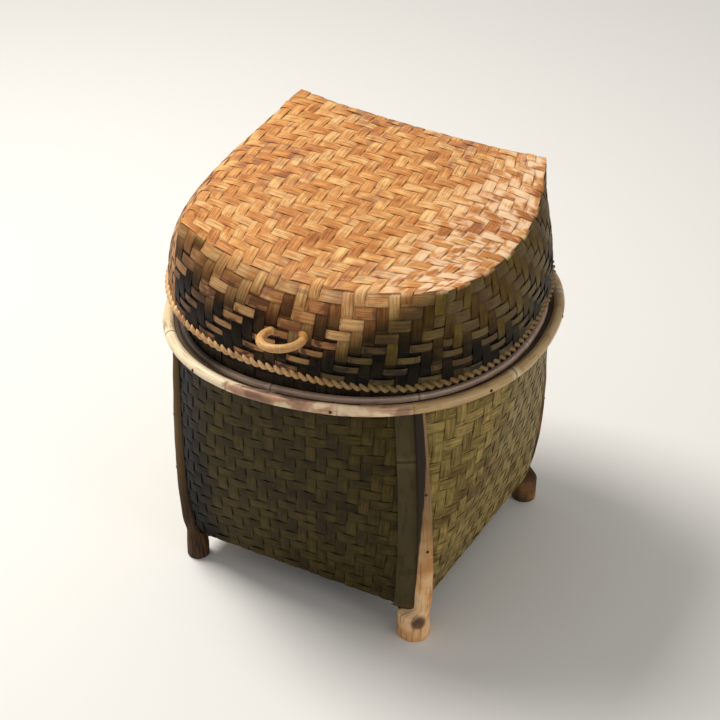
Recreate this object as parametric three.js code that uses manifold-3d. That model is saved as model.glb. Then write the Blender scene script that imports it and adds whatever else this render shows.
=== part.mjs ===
// Lidded wicker basket on four stick legs. The twill-woven body is square at the
// foot and nearly round at the mouth, two cane hoops grip its rim, and a loose
// pillow-shaped lid with a cane pull ring sits askew over an upstanding collar.
// Millimetres, +Z up, standing on Z = 0. The front face looks along -Y.
import * as THREE from "three";
import { mergeVertices } from "three/addons/utils/BufferGeometryUtils.js";
import Module from "manifold-3d";

const wasm = await Module();
wasm.setup();

// Driving dimensions of the basket's body
const floorHeight = 24.3;
const mouthWidth = 282.4;
const bottomWidthShare = 0.726;
const bottomWidth = mouthWidth * bottomWidthShare;
const footSetIn = 4.7;
const footSpan = bottomWidth - 2 * footSetIn;
const mouthHeight = 213.1;
const weaveThickness = 3;
const floorThickness = 3;
const bottomCornerShare = 0.05;
const mouthCornerShare = 0.4525;
const mouthTurn = THREE.MathUtils.degToRad(8);
const flareShare = 0.9;
const roundingShare = 1.2;
// Strips along each side, and the furrows between the twill's diagonal ribs
const stripsAlongSide = 26;
const stripsAcrossRib = 2;
const bodyFurrow = 0.8;
const lidFurrow = 1;
// The mouth isn't level: it climbs towards +X and falls towards +Y by these shares.
const mouthClimbXShare = 0.036;
const mouthClimbYShare = -0.017;
// Halfway up the wall leans over a little towards its right-hand corner.
const wallSway = 0.9;

// Rim hoops and collar
const outerHoopDiameter = 8.5;
const innerHoopThickness = 4.5;
const innerHoopHeight = 9;
const rimAboveHoopMiddle = 3.4;
const collarThickness = 2.5;
const collarRise = 39.2;
const collarDepth = 34;
const collarTaper = 1.6;
const hoopJointLength = 38;
const hoopJointThickShare = 0.3;
const hoopJointThinShare = -0.8;
const hoopJointAngles = [THREE.MathUtils.degToRad(258), THREE.MathUtils.degToRad(312)];

// Clearances
const seatGap = 0.3;
const collarSlack = 0.9;
const overrun = 4;

// Pegs of split bamboo
const pegDiameter = 2.6;
const pegRecess = 0.6;
const rimPegCount = 8;
const rimPegStart = THREE.MathUtils.degToRad(20);
const legPegHeights = { lower: 89, upper: 140 };
const pegInside = 1.2;

// Legs: whittled sticks up the corners. These sizes are the front leg's, and the
// other legs take shares of them. Shifts run anticlockwise round the basket.
const footEdge = 1.4;
const footDiameter = 25.5;
const footHeight = 21.5;
const shoulderHeight = 27;
const legRootDiameter = 13.6;
const legMiddleDiameter = 10.4;
const legTipDiameter = 8;
const legShift = 5.5;
const legs = [
  {
    name: "front", angle: THREE.MathUtils.degToRad(315),
    footShare: 1, footHeightShare: 1, shoulderShare: 1, rootShare: 1, middleShare: 1, tipShare: 1,
    lowShiftShare: 1, highShiftShare: -0.27, standOffShare: 0, tenonShare: 1.02,
  },
  {
    name: "left", angle: THREE.MathUtils.degToRad(225),
    footShare: 0.69, footHeightShare: 0.51, shoulderShare: 1.33, rootShare: 0.88, middleShare: 0.96,
    tipShare: 0.95, lowShiftShare: -0.18, highShiftShare: 0, standOffShare: -0.29, tenonShare: 0.5,
  },
  {
    name: "right", angle: THREE.MathUtils.degToRad(45),
    footShare: 0.785, footHeightShare: 0.88, shoulderShare: 1, rootShare: 0.88, middleShare: 0.9,
    tipShare: 0.88, lowShiftShare: 1.45, highShiftShare: 2.18, standOffShare: -0.09, tenonShare: 0.5,
  },
  {
    name: "back", angle: THREE.MathUtils.degToRad(135),
    footShare: 0.745, footHeightShare: 0.79, shoulderShare: 1.07, rootShare: 0.88, middleShare: 0.9,
    tipShare: 0.88, lowShiftShare: 0.55, highShiftShare: 0.18, standOffShare: 0.09, tenonShare: 0.5,
  },
];
const legSeatShare = 0.35;
const legShaftSteps = 5;

// Crossed battens under the floor, tenoned into the feet
const battenDiameter = 10;
const battenEndDiameter = 6.6;

// Lid
const lidSetIn = 1.2;
const lidWidth = mouthWidth - 2 * lidSetIn;
const lidCornerShare = 0.42;
const lidPeakHeight = 79;
// Four peaks of the lid's top, anticlockwise from the one at the right and back:
// shares of the lid's width across, along, and of the highest peak's height
const lidPeakShares = [
  [0.396, 0.353, 0.95], [-0.345, 0.374, 1], [-0.3525, -0.375, 0.962], [0.384, -0.365, 0.968],
];
const lidPeaks = lidPeakShares.map(([x, y, z]) =>
  new THREE.Vector3(x * lidWidth, y * lidWidth, z * lidPeakHeight));
// The crease from peak to peak bulges outwards and sags in each side's middle.
const lidTopBulges = [18, 9, 13, 20];
const lidTopSag = 9.8;
const lidCrownHeight = 73.5;
const lidCrownDip = lidPeaks.reduce((sum, peak) => sum + peak.z / lidPeaks.length, 0) - lidCrownHeight;
const lidThickness = 3;
const lidBulgeShare = 2.5;
const lidTurn = THREE.MathUtils.degToRad(6.6);
const lidShiftX = -1.5;
const lidShiftY = -1;
// The lid sits askew: it falls towards +X and climbs towards +Y by these shares.
const lidClimbXShare = -0.052;
const lidClimbYShare = 0.03;
const borderDiameter = 5.8;
const seatHoopUp = 24;
const seatHoopHeight = 3.5;
const seatHoopWidth = 7;
const seatHoopOpening = 62;

// Pull ring of cane, threaded through two slots in the lid's front
const ringRadius = 15.3;
const ringCane = 6.2;
const ringStandOut = 7.4;
const ringHeight = 31;
const ringLift = THREE.MathUtils.degToRad(4);
const ringRoll = THREE.MathUtils.degToRad(5.5);
const ringSwing = THREE.MathUtils.degToRad(35);
const ringSlotSlack = 0.5;
const ringSlotSteps = 2;

// Facets
const cellsAlongSide = stripsAlongSide / stripsAcrossRib;
const around = 4 * cellsAlongSide;
const lidRises = [0, 0.25, 0.5, 0.75, 1];
const lidTopShares = [0.86, 0.6, 0.3];
const caneSides = 8;
const fineSteps = 720;
const fullTurn = 2 * Math.PI;
const firstCorner = -Math.PI / 4;

const cane = { color: 0xe3bd88, roughness: 0.42, metalness: 0 };
const darkCane = { color: 0x9a8068, roughness: 0.6, metalness: 0 };
const bodyWeave = { color: 0xb89c68, roughness: 0.6, metalness: 0 };
const lidWeave = { color: 0xd0965a, roughness: 0.5, metalness: 0 };
const stick = { color: 0xd9ad74, roughness: 0.55, metalness: 0 };
const peg = { color: 0x5d4630, roughness: 0.7, metalness: 0 };

const onAxis = new THREE.Vector2();
const basket = new THREE.Group();
const lid = new THREE.Group();

function addPiece(name, geometry, finish, parent) {
  const mesh = new THREE.Mesh(geometry, new THREE.MeshStandardMaterial(finish));
  mesh.name = name;
  parent.add(mesh);
  return mesh;
}

// Radius of a rounded square in the direction of an angle. cornerShare runs from
// near 0 for a sharp square to 0.5 for a circle.
function squareRadius(shape, angle) {
  const power = 1 / shape.cornerShare;
  const across = Math.abs(Math.cos(angle - shape.turn)) ** power;
  const along = Math.abs(Math.sin(angle - shape.turn)) ** power;
  return shape.half / (across + along) ** shape.cornerShare;
}

function atAngle(shape, angle) {
  const radius = squareRadius(shape, angle);
  return new THREE.Vector2(radius * Math.cos(angle), radius * Math.sin(angle));
}

// Points at even steps of length round a rounded square, from its front right
// corner anticlockwise.
function evenOutline(shape, count = around) {
  const fine = [];
  for (let i = 0; i <= fineSteps; i++) {
    fine.push(atAngle(shape, shape.turn + firstCorner + (i / fineSteps) * fullTurn));
  }
  const lengths = [0];
  for (let i = 1; i <= fineSteps; i++) {
    lengths.push(lengths[i - 1] + fine[i].distanceTo(fine[i - 1]));
  }
  const points = [];
  let j = 0;
  for (let i = 0; i < count; i++) {
    const target = (i / count) * lengths[fineSteps];
    while (lengths[j + 1] < target) j++;
    const step = (target - lengths[j]) / (lengths[j + 1] - lengths[j]);
    points.push(fine[j].clone().lerp(fine[j + 1], step));
  }
  return points;
}

function atHeight(points, height) {
  return points.map((p) => new THREE.Vector3(p.x, p.y, height));
}

// The two triangles of a facet, folded from its first corner to its third or
// from its second to its fourth
function facet(a, b, c, d, foldedBack = false) {
  return foldedBack ? [a, b, d, b, c, d] : [a, b, c, a, c, d];
}

// The twill's ribs run through the corners, so they slant the other way on every
// second side.
function ribsSlantBack(i) {
  return Math.floor((i % around) / cellsAlongSide) % 2 === 1;
}

function isFurrow(i, row) {
  return (i + row) % 2 === 1;
}

// Joins rows of points into one closed body. A looped skin joins its last row
// to its first; any other is closed at both ends by a fan to the row's middle.
function skin(rows, looped = false, foldedBack = () => false) {
  const count = rows[0].length;
  const points = rows.flat();
  const index = [];
  const at = (row, i) => (row % rows.length) * count + (i % count);
  const bands = looped ? rows.length : rows.length - 1;
  for (let row = 0; row < bands; row++) {
    for (let i = 0; i < count; i++) {
      const corners = [at(row, i), at(row, i + 1), at(row + 1, i + 1), at(row + 1, i)];
      index.push(...facet(...corners, foldedBack(i)));
    }
  }
  if (!looped) {
    for (const row of [0, rows.length - 1]) {
      const middle = new THREE.Vector3();
      rows[row].forEach((p) => middle.addScaledVector(p, 1 / count));
      points.push(middle);
      for (let i = 0; i < count; i++) {
        const fan = [points.length - 1, at(row, i + 1), at(row, i)];
        index.push(...(row === 0 ? fan : fan.reverse()));
      }
    }
  }
  const geometry = new THREE.BufferGeometry().setFromPoints(points);
  geometry.setIndex(signedVolume(points, index) < 0 ? index.reverse() : index);
  return geometry;
}

function signedVolume(points, index) {
  let volume = 0;
  for (let i = 0; i < index.length; i += 3) {
    const [a, b, c] = [points[index[i]], points[index[i + 1]], points[index[i + 2]]];
    volume += a.dot(b.clone().cross(c)) / 6;
  }
  return volume;
}

function toSolid(geometry) {
  const plain = geometry.clone();
  plain.deleteAttribute("normal");
  plain.deleteAttribute("uv");
  const merged = mergeVertices(plain, 1e-4 * weaveThickness);
  return new wasm.Manifold(new wasm.Mesh({
    numProp: 3,
    vertProperties: new Float32Array(merged.attributes.position.array),
    triVerts: new Uint32Array(merged.index.array),
  }));
}

function fromSolid(solid) {
  const mesh = solid.getMesh();
  const geometry = new THREE.BufferGeometry();
  const positions = new Float32Array(mesh.vertProperties);
  geometry.setAttribute("position", new THREE.BufferAttribute(positions, 3));
  geometry.setIndex(new THREE.BufferAttribute(new Uint32Array(mesh.triVerts), 1));
  return geometry;
}

function cutAway(geometry, cutters) {
  let solid = toSolid(geometry);
  for (const cutter of cutters) solid = solid.subtract(toSolid(cutter));
  return fromSolid(solid);
}

// How far up the wall a height is: 0 at the floor and 1 at the mouth
function riseOfWall(height) {
  return THREE.MathUtils.clamp((height - floorHeight) / (mouthHeight - floorHeight), 0, 1);
}

// The mouth's slope fades in from the floor upwards, so that it carries the
// wall, legs, hoops and collar along together.
function leanHeight(x, y, height) {
  return height + riseOfWall(height) * (mouthClimbXShare * x + mouthClimbYShare * y);
}

function moveHeights(geometry, newHeight) {
  const position = geometry.attributes.position;
  for (let i = 0; i < position.count; i++) {
    const [x, y, z] = [position.getX(i), position.getY(i), position.getZ(i)];
    position.setZ(i, newHeight(x, y, z));
  }
  return geometry;
}

function leaned(geometry) {
  const position = geometry.attributes.position;
  for (let i = 0; i < position.count; i++) {
    const rise = riseOfWall(position.getZ(i));
    const sway = wallSway * Math.sin(Math.PI * rise);
    position.setXY(i, position.getX(i) + sway, position.getY(i) + sway);
  }
  return moveHeights(geometry, leanHeight);
}

function addToBasket(name, geometry, finish) {
  return addPiece(name, leaned(geometry), finish, basket);
}

// Shape of the wall's outer face at a height
function wallShape(height, inset = 0) {
  const rise = riseOfWall(height);
  const width = THREE.MathUtils.lerp(bottomWidth, mouthWidth, rise ** flareShare);
  return {
    half: width / 2 - inset,
    cornerShare: THREE.MathUtils.lerp(bottomCornerShare, mouthCornerShare, rise ** roundingShare),
    turn: mouthTurn * rise,
  };
}

function mouthShape(half) {
  return { half, cornerShare: mouthCornerShare, turn: mouthTurn };
}

// A bar bent round the whole mouth. profile is (half-width, height) pairs.
function mouthRing(profile) {
  return skin(profile.map((p) => atHeight(evenOutline(mouthShape(p.x)), p.y)), true);
}

function roundProfile(half, height, diameter, sides = caneSides) {
  const profile = [];
  for (let i = 0; i < sides; i++) {
    const angle = ((i + 0.5) / sides) * fullTurn;
    const reach = diameter / 2;
    profile.push(new THREE.Vector2(half + reach * Math.cos(angle), height + reach * Math.sin(angle)));
  }
  return profile;
}

function boxProfile(outerHalf, thickness, low, high) {
  return [
    new THREE.Vector2(outerHalf, low), new THREE.Vector2(outerHalf, high),
    new THREE.Vector2(outerHalf - thickness, high), new THREE.Vector2(outerHalf - thickness, low),
  ];
}

// A round peg lying level, pointing outwards from the basket's axis
function radialPeg(angle, height, from, to, diameter = pegDiameter) {
  const geometry = new THREE.CylinderGeometry(diameter / 2, diameter / 2, to - from, caneSides);
  geometry.rotateZ(-Math.PI / 2);
  geometry.translate((from + to) / 2, 0, 0);
  geometry.rotateZ(angle);
  geometry.translate(0, 0, height);
  return geometry;
}

// Rim: where each ring of the sandwich lies
const hoopMiddleHalf = mouthWidth / 2 + seatGap + outerHoopDiameter / 2;
const innerHoopHalf = mouthWidth / 2 - weaveThickness - seatGap;
const collarHalf = innerHoopHalf - innerHoopThickness - seatGap;
const innerHoopLow = mouthHeight - innerHoopHeight / 2;
const rimTop = mouthHeight + rimAboveHoopMiddle;
const collarTop = mouthHeight + collarRise;

const rimPegs = [];
for (let i = 0; i < rimPegCount; i++) {
  const angle = rimPegStart + (i / rimPegCount) * fullTurn;
  const from = squareRadius(mouthShape(collarHalf - collarThickness), angle) - pegInside;
  const to = squareRadius(mouthShape(hoopMiddleHalf + outerHoopDiameter / 2), angle) - pegRecess;
  rimPegs.push({
    solid: radialPeg(angle, mouthHeight, from, to),
    hole: radialPeg(angle, mouthHeight, from - overrun, to + overrun, pegDiameter + 2 * seatGap),
  });
}
const rimPegHoles = rimPegs.map((p) => p.hole);

// Legs: rows of level circles that climb the outside of the basket's corners
const legTop = mouthHeight - outerHoopDiameter / 2 - seatGap;

function legMiddle(leg, height) {
  const foot = new THREE.Vector2(footSpan / Math.SQRT2, 0).rotateAround(onAxis, leg.angle);
  const rise = THREE.MathUtils.clamp((height - floorHeight) / (legTop - floorHeight), 0, 1);
  const reach = squareRadius(wallShape(height), leg.angle);
  const shift = legShift * THREE.MathUtils.lerp(leg.lowShiftShare, leg.highShiftShare, rise);
  const angle = leg.angle + shift / reach;
  const shoulder = shoulderHeight * leg.shoulderShare;
  const seat = (legSeatShare * legDiameter(leg, Math.max(height, shoulder))) / 2;
  const stand = squareRadius(wallShape(height), angle) + seat + legShift * leg.standOffShare;
  const shaft = new THREE.Vector2(stand, 0).rotateAround(onAxis, angle);
  return foot.lerp(shaft, THREE.MathUtils.smoothstep(height, footHeight * leg.footHeightShare, shoulder));
}

function legDiameter(leg, height) {
  const foot = footDiameter * leg.footShare;
  const root = legRootDiameter * leg.rootShare;
  const middle = legMiddleDiameter * leg.middleShare;
  const tip = legTipDiameter * leg.tipShare;
  const footTop = footHeight * leg.footHeightShare;
  const shoulder = shoulderHeight * leg.shoulderShare;
  if (height <= footTop) return foot;
  if (height <= shoulder) {
    return THREE.MathUtils.lerp(foot, root, (height - footTop) / (shoulder - footTop));
  }
  const step = (2 * (height - shoulder)) / (legTop - shoulder);
  return step < 1
    ? THREE.MathUtils.lerp(root, middle, step)
    : THREE.MathUtils.lerp(middle, tip, step - 1);
}

function legRow(leg, height, diameter) {
  const middle = legMiddle(leg, height);
  const row = [];
  for (let i = 0; i < caneSides + 2; i++) {
    const angle = (i / (caneSides + 2)) * fullTurn;
    const x = middle.x + (diameter / 2) * Math.cos(angle);
    row.push(new THREE.Vector3(x, middle.y + (diameter / 2) * Math.sin(angle), height));
  }
  return row;
}

function legStick(leg) {
  const rows = [legRow(leg, 0, legDiameter(leg, 0) - 2 * footEdge)];
  const shoulder = shoulderHeight * leg.shoulderShare;
  const heights = [footEdge, footHeight * leg.footHeightShare, shoulder];
  for (let i = 1; i <= legShaftSteps; i++) {
    heights.push(THREE.MathUtils.lerp(shoulder, legTop, i / legShaftSteps));
  }
  heights.forEach((height) => rows.push(legRow(leg, height, legDiameter(leg, height))));
  return skin(rows);
}

function legPeg(leg, height, grow = 0, longer = 0) {
  const middle = legMiddle(leg, height);
  const from = squareRadius(wallShape(height, weaveThickness), middle.angle()) - pegInside;
  const to = middle.length() + legDiameter(leg, height) / 2 - pegRecess;
  return radialPeg(middle.angle(), height, from - longer, to + longer, pegDiameter + 2 * grow);
}

// Wall heights where the body's rows lie
const wallRibs = 11;
const wallHeights = [];
for (let i = 0; i <= wallRibs; i++) {
  wallHeights.push(THREE.MathUtils.lerp(floorHeight, innerHoopLow, i / wallRibs));
}
wallHeights.push(mouthHeight, rimTop);

const legPegHoles = legs.flatMap((leg) =>
  Object.values(legPegHeights).map((height) => legPeg(leg, height, seatGap, overrun)));

function ribbedRow(row) {
  const height = wallHeights[row];
  const ribs = atHeight(evenOutline(wallShape(height)), height);
  if (row === 0 || row >= wallRibs) return ribs;
  const furrows = atHeight(evenOutline(wallShape(height, bodyFurrow)), height);
  return ribs.map((rib, i) => (isFurrow(i, row) ? furrows[i] : rib));
}

function makeBody() {
  const rows = wallHeights.map((z, row) => ribbedRow(row));
  const insideHeights = wallHeights.filter((z, row) => row % 2 === 1 || row > wallRibs);
  for (const z of [floorHeight + floorThickness, ...insideHeights].reverse()) {
    rows.push(atHeight(evenOutline(wallShape(z, weaveThickness)), z));
  }
  const body = skin(rows, false, ribsSlantBack);
  addToBasket("woven_body", cutAway(body, [...rimPegHoles, ...legPegHoles]), bodyWeave);
}

function makeCollar() {
  const behindHoop = weaveThickness + 2 * seatGap + innerHoopThickness;
  const stations = [
    [mouthHeight - collarDepth, weaveThickness + collarSlack], [innerHoopLow, behindHoop],
    [mouthHeight, behindHoop], [collarTop, behindHoop + collarTaper],
  ];
  const collarRow = ([height, inset], thickness) =>
    atHeight(evenOutline(wallShape(height, inset + thickness)), height);
  const collar = skin([
    ...stations.map((s) => collarRow(s, 0)),
    ...stations.reverse().map((s) => collarRow(s, collarThickness)),
  ], true);
  addToBasket("collar", cutAway(collar, rimPegHoles), bodyWeave);
}

// The outer hoop is two lengths of cane with lapped joints. This is the space of
// the short front length: at each joint it lies thin outside the long one.
function shortLengthSpace(grow) {
  const outline = evenOutline(mouthShape(hoopMiddleHalf));
  const stepLength = outline[0].distanceTo(outline[1]);
  const [start, end] = hoopJointAngles.map((angle) =>
    ((angle - mouthTurn - firstCorner) / fullTurn) * around);
  const lap = hoopJointLength / stepLength;
  const extra = grow / stepLength;
  const reach = outerHoopDiameter / 2;
  const inwards = (share) => hoopMiddleHalf + share * reach - grow;
  const stops = [
    [start - extra, inwards(hoopJointThickShare)], [start + lap, inwards(hoopJointThinShare)],
    [start + lap + extra, inwards(-2)], [end - lap - extra, inwards(-2)],
    [end - lap, inwards(hoopJointThinShare)], [end + extra, inwards(hoopJointThickShare)],
  ];
  for (let i = Math.ceil(stops[0][0]); i < stops[5][0]; i++) {
    const next = stops.findIndex(([index]) => index > i);
    const [[a, from], [b, to]] = [stops[next - 1], stops[next]];
    if (i > a) stops.splice(next, 0, [i, THREE.MathUtils.lerp(from, to, (i - a) / (b - a))]);
  }
  const corner = (index, half, height) => {
    const ring = evenOutline(mouthShape(half));
    const whole = Math.floor(index);
    const p = ring[whole % around].clone().lerp(ring[(whole + 1) % around], index - whole);
    return new THREE.Vector3(p.x, p.y, height);
  };
  const [low, high] = [mouthHeight - outerHoopDiameter, mouthHeight + outerHoopDiameter];
  const outside = hoopMiddleHalf + outerHoopDiameter;
  return skin(stops.map(([index, inside]) => [
    corner(index, inside, low), corner(index, outside, low),
    corner(index, outside, high), corner(index, inside, high),
  ]));
}

function makeHoops() {
  const whole = toSolid(mouthRing(roundProfile(hoopMiddleHalf, mouthHeight, outerHoopDiameter)));
  const long = whole.subtract(toSolid(shortLengthSpace(seatGap)));
  const short = whole.intersect(toSolid(shortLengthSpace(0)));
  addToBasket("rim_hoop_long", cutAway(fromSolid(long), rimPegHoles), cane);
  addToBasket("rim_hoop_short", cutAway(fromSolid(short), rimPegHoles), darkCane);
  const innerHoopRow = (height, inset) =>
    atHeight(evenOutline(wallShape(height, weaveThickness + seatGap + inset)), height);
  const heights = [innerHoopLow, mouthHeight, innerHoopLow + innerHoopHeight];
  const innerHoop = skin([
    ...heights.map((z) => innerHoopRow(z, 0)),
    ...heights.reverse().map((z) => innerHoopRow(z, innerHoopThickness)),
  ], true);
  addToBasket("rim_hoop_inner", cutAway(innerHoop, rimPegHoles), darkCane);
  rimPegs.forEach((p, i) => addToBasket(`rim_peg_${i + 1}`, p.solid, peg));
}

// Battens cross under the floor from foot to foot, halved where they meet
const battenHeight = floorHeight - seatGap - battenDiameter / 2;

function battenStick(direction, reaches, grow = 0, longer = 0) {
  const end = battenEndDiameter / 2 + grow;
  const middle = battenDiameter / 2 + grow;
  const footInner = footSpan / Math.SQRT2 - footDiameter;
  const stops = [
    [-reaches.back - longer, end], [-footInner, end], [-footInner / 2, middle],
    [footInner / 2, middle], [footInner, end], [reaches.front + longer, end],
  ];
  const rows = stops.map(([along, radius]) => {
    const row = [];
    for (let i = 0; i < caneSides; i++) {
      const angle = (i / caneSides) * fullTurn;
      row.push(new THREE.Vector3(along, radius * Math.cos(angle), battenHeight + radius * Math.sin(angle)));
    }
    return row;
  });
  return skin(rows).rotateZ(direction);
}

function battenReach(leg) {
  return footSpan / Math.SQRT2 + (leg.tenonShare * legDiameter(leg, 0)) / 2;
}

const [frontLeg, leftLeg, rightLeg, backLeg] = legs;
const battens = [
  { name: "floor_batten_front_back", leg: frontLeg, other: backLeg, halved: 1 },
  { name: "floor_batten_left_right", leg: leftLeg, other: rightLeg, halved: -1 },
];

function halvingSpace(side) {
  const width = battenDiameter + 2 * seatGap;
  const height = battenDiameter;
  const geometry = new THREE.BoxGeometry(width, battenDiameter + 2 * overrun, height);
  geometry.translate(0, 0, battenHeight + side * (height / 2 - seatGap / 2));
  return geometry;
}

function makeBattens() {
  for (const { name, leg, other, halved } of battens) {
    const reaches = { front: battenReach(leg), back: battenReach(other) };
    const halving = halvingSpace(halved).rotateZ(leg.angle);
    addToBasket(name, cutAway(battenStick(leg.angle, reaches), [halving]), stick);
  }
}

function makeLegs() {
  const plugRows = [floorHeight, ...wallHeights.slice(1)].map((z, i) =>
    atHeight(evenOutline(wallShape(z, -seatGap)), i === 0 ? z - seatGap : z));
  const bodySpace = skin(plugRows, false, ribsSlantBack);
  for (const leg of legs) {
    const batten = battens.find((b) => b.leg === leg || b.other === leg);
    const reaches = { front: battenReach(batten.leg), back: battenReach(batten.other) };
    const tenon = battenStick(batten.leg.angle, reaches, seatGap, leg === frontLeg ? overrun : seatGap);
    const pegHoles = Object.values(legPegHeights).map((z) => legPeg(leg, z, seatGap, overrun));
    const shaped = cutAway(legStick(leg), [bodySpace, tenon, ...pegHoles]);
    addToBasket(`leg_${leg.name}`, shaped, stick);
    for (const [place, height] of Object.entries(legPegHeights)) {
      addToBasket(`leg_peg_${leg.name}_${place}`, legPeg(leg, height), peg);
    }
  }
}

// Lid, in its own level frame with the border's middle at Z = 0
const shellBottom = borderDiameter / 2 + seatGap;

// Point of the lid's pillow top. across and along run from -1 to 1.
function lidTopPoint(across, along, inset) {
  const [rightBack, leftBack, leftFront, rightFront] = lidPeaks.map((peak) =>
    peak.clone().sub(new THREE.Vector3(Math.sign(peak.x), Math.sign(peak.y), 1).multiplyScalar(inset)));
  const back = leftBack.lerp(rightBack, (1 + across) / 2);
  const point = leftFront.lerp(rightFront, (1 + across) / 2).lerp(back, (1 + along) / 2);
  const [bowAcross, bowAlong] = [1 - across ** 2, 1 - along ** 2];
  const [right, behind, left, front] = lidTopBulges;
  point.x += THREE.MathUtils.lerp(-left, right, (1 + across) / 2) * bowAlong;
  point.y += THREE.MathUtils.lerp(-front, behind, (1 + along) / 2) * bowAcross;
  point.z -= lidTopSag * (Math.abs(across) ** 3 * bowAlong + Math.abs(along) ** 3 * bowAcross);
  point.z -= lidCrownDip * bowAcross * bowAlong;
  return point;
}

// Place across and along the square of the lid's top, on its edge or at a share
// of the way out to it
function squarePlace(angle, share = 1) {
  const quarter = Math.round(angle / (Math.PI / 2)) * (Math.PI / 2);
  return new THREE.Vector2(share, share * Math.tan(angle - quarter)).rotateAround(onAxis, quarter);
}

function creasePoint(angle, inset) {
  const place = squarePlace(angle);
  return lidTopPoint(place.x, place.y, inset);
}

// The lid's side curves up from a rounded square at the border to the crease.
const lidOutline = { half: lidWidth / 2, cornerShare: lidCornerShare, turn: 0 };
const lidAngles = evenOutline(lidOutline).map((p) => p.angle());

function lidSidePoint(angle, rise, inset) {
  const point = creasePoint(angle, inset);
  const border = atAngle({ ...lidOutline, half: lidOutline.half - inset }, angle);
  const across = border.lerp(new THREE.Vector2(point.x, point.y), rise ** lidBulgeShare);
  return new THREE.Vector3(across.x, across.y, THREE.MathUtils.lerp(shellBottom, point.z, rise));
}

function lidSideRow(rise, inset) {
  return lidAngles.map((angle) => lidSidePoint(angle, rise, inset));
}

function riseAt(angle, height) {
  return (height - shellBottom) / (creasePoint(angle, 0).z - shellBottom);
}

function lidTopRow(share, inset) {
  return lidAngles.map((angle) => {
    const place = squarePlace(angle, share);
    return lidTopPoint(place.x, place.y, inset);
  });
}

function lidSkew(x, y, height) {
  return height + lidClimbXShare * x + lidClimbYShare * y;
}

// Where the pull ring pierces the lid's front: the middle of its chord
const frontAngle = -Math.PI / 2;
const ringChordY = lidSidePoint(frontAngle, riseAt(frontAngle, ringHeight), lidThickness / 2).y;
const ringChordZ = lidSkew(0, ringChordY, ringHeight);

function pullRing(swing, grow = 0) {
  const geometry = new THREE.TorusGeometry(ringRadius, ringCane / 2 + grow, caneSides, 3 * caneSides);
  geometry.translate(0, -(ringStandOut + lidThickness / 2), 0);
  geometry.rotateX(-ringLift - swing);
  geometry.rotateY(-ringRoll);
  geometry.translate(0, ringChordY, ringChordZ);
  return geometry;
}

function lidRows(inset) {
  return [
    ...lidRises.map((rise) => lidSideRow(rise, inset)),
    ...lidTopShares.map((share) => lidTopRow(share, inset)),
  ];
}

// The lid's outer face: ribbed rows from the crease down to the border, and over
// the top a grid of the same cells, whose edge is the first row
function lidOutside() {
  const rows = [...lidRises].reverse().map((rise, row) => lidAngles.map((angle, i) =>
    lidSidePoint(angle, rise, rise > 0 && isFurrow(i, row) ? lidFurrow : 0)));
  const points = rows.flat();
  const firstInside = points.length;
  const at = (p, q) => {
    if (p === cellsAlongSide) return q;
    if (q === cellsAlongSide) return 2 * cellsAlongSide - p;
    if (p === 0) return 3 * cellsAlongSide - q;
    if (q === 0) return 3 * cellsAlongSide + p;
    return firstInside + (p - 1) * (cellsAlongSide - 1) + q - 1;
  };
  const shares = lidAngles.slice(0, cellsAlongSide).map((angle) => Math.tan(angle));
  for (let p = 1; p < cellsAlongSide; p++) {
    for (let q = 1; q < cellsAlongSide; q++) {
      points.push(lidTopPoint(shares[p], shares[q], isFurrow(p, q + 1) ? lidFurrow : 0));
    }
  }
  const index = [];
  for (let p = 0; p < cellsAlongSide; p++) {
    for (let q = 0; q < cellsAlongSide; q++) {
      const foldedToPeak = Math.abs(p - q) === cellsAlongSide - 1;
      index.push(...facet(at(p, q), at(p + 1, q), at(p + 1, q + 1), at(p, q + 1), foldedToPeak));
    }
  }
  points.push(new THREE.Vector3(0, 0, shellBottom));
  for (let i = 0; i < around; i++) {
    const next = (i + 1) % around;
    for (let first = 0; first < firstInside - around; first += around) {
      const corners = [first + next, first + i, first + around + i, first + around + next];
      index.push(...facet(...corners, !ribsSlantBack(i)));
    }
    index.push(points.length - 1, firstInside - around + next, firstInside - around + i);
  }
  return new THREE.BufferGeometry().setFromPoints(points).setIndex(index);
}

function makeLid() {
  const inside = lidRows(lidThickness);
  inside.unshift(inside[0].map((p) => p.clone().setZ(p.z - overrun)));
  const shell = moveHeights(cutAway(lidOutside(), [skin(inside)]), lidSkew);
  const slots = [];
  for (let i = 0; i <= ringSlotSteps; i++) {
    slots.push(pullRing((i / ringSlotSteps) * ringSwing, ringSlotSlack));
  }
  addPiece("lid_shell", cutAway(shell, slots), lidWeave, lid);

  const borderHalf = lidWidth / 2 - lidThickness / 2;
  const border = roundProfile(borderHalf, 0, borderDiameter).map((p) =>
    atHeight(evenOutline({ ...lidOutline, half: p.x }), p.y));
  addPiece("lid_border", moveHeights(skin(border, true), lidSkew), cane, lid);
}

// The seat hoop is open at the front, where the pull ring comes through.
function makeSeatHoop() {
  const openingAngle = (2 * seatHoopOpening) / lidWidth;
  const top = seatHoopUp + seatHoopHeight;
  const rows = [];
  for (let i = 0; i <= around; i++) {
    const angle = frontAngle + openingAngle / 2 + (i / around) * (fullTurn - openingAngle);
    rows.push(boxProfile(0, lidThickness + seatHoopWidth, seatHoopUp, top).map((p) => {
      const point = lidSidePoint(angle, riseAt(angle, top), -p.x);
      return point.setZ(p.y);
    }));
  }
  const hoop = toSolid(skin(rows)).intersect(toSolid(skin(lidRows(lidThickness + seatGap))));
  addPiece("lid_seat_hoop", moveHeights(fromSolid(hoop), lidSkew), darkCane, lid);
}

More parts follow.
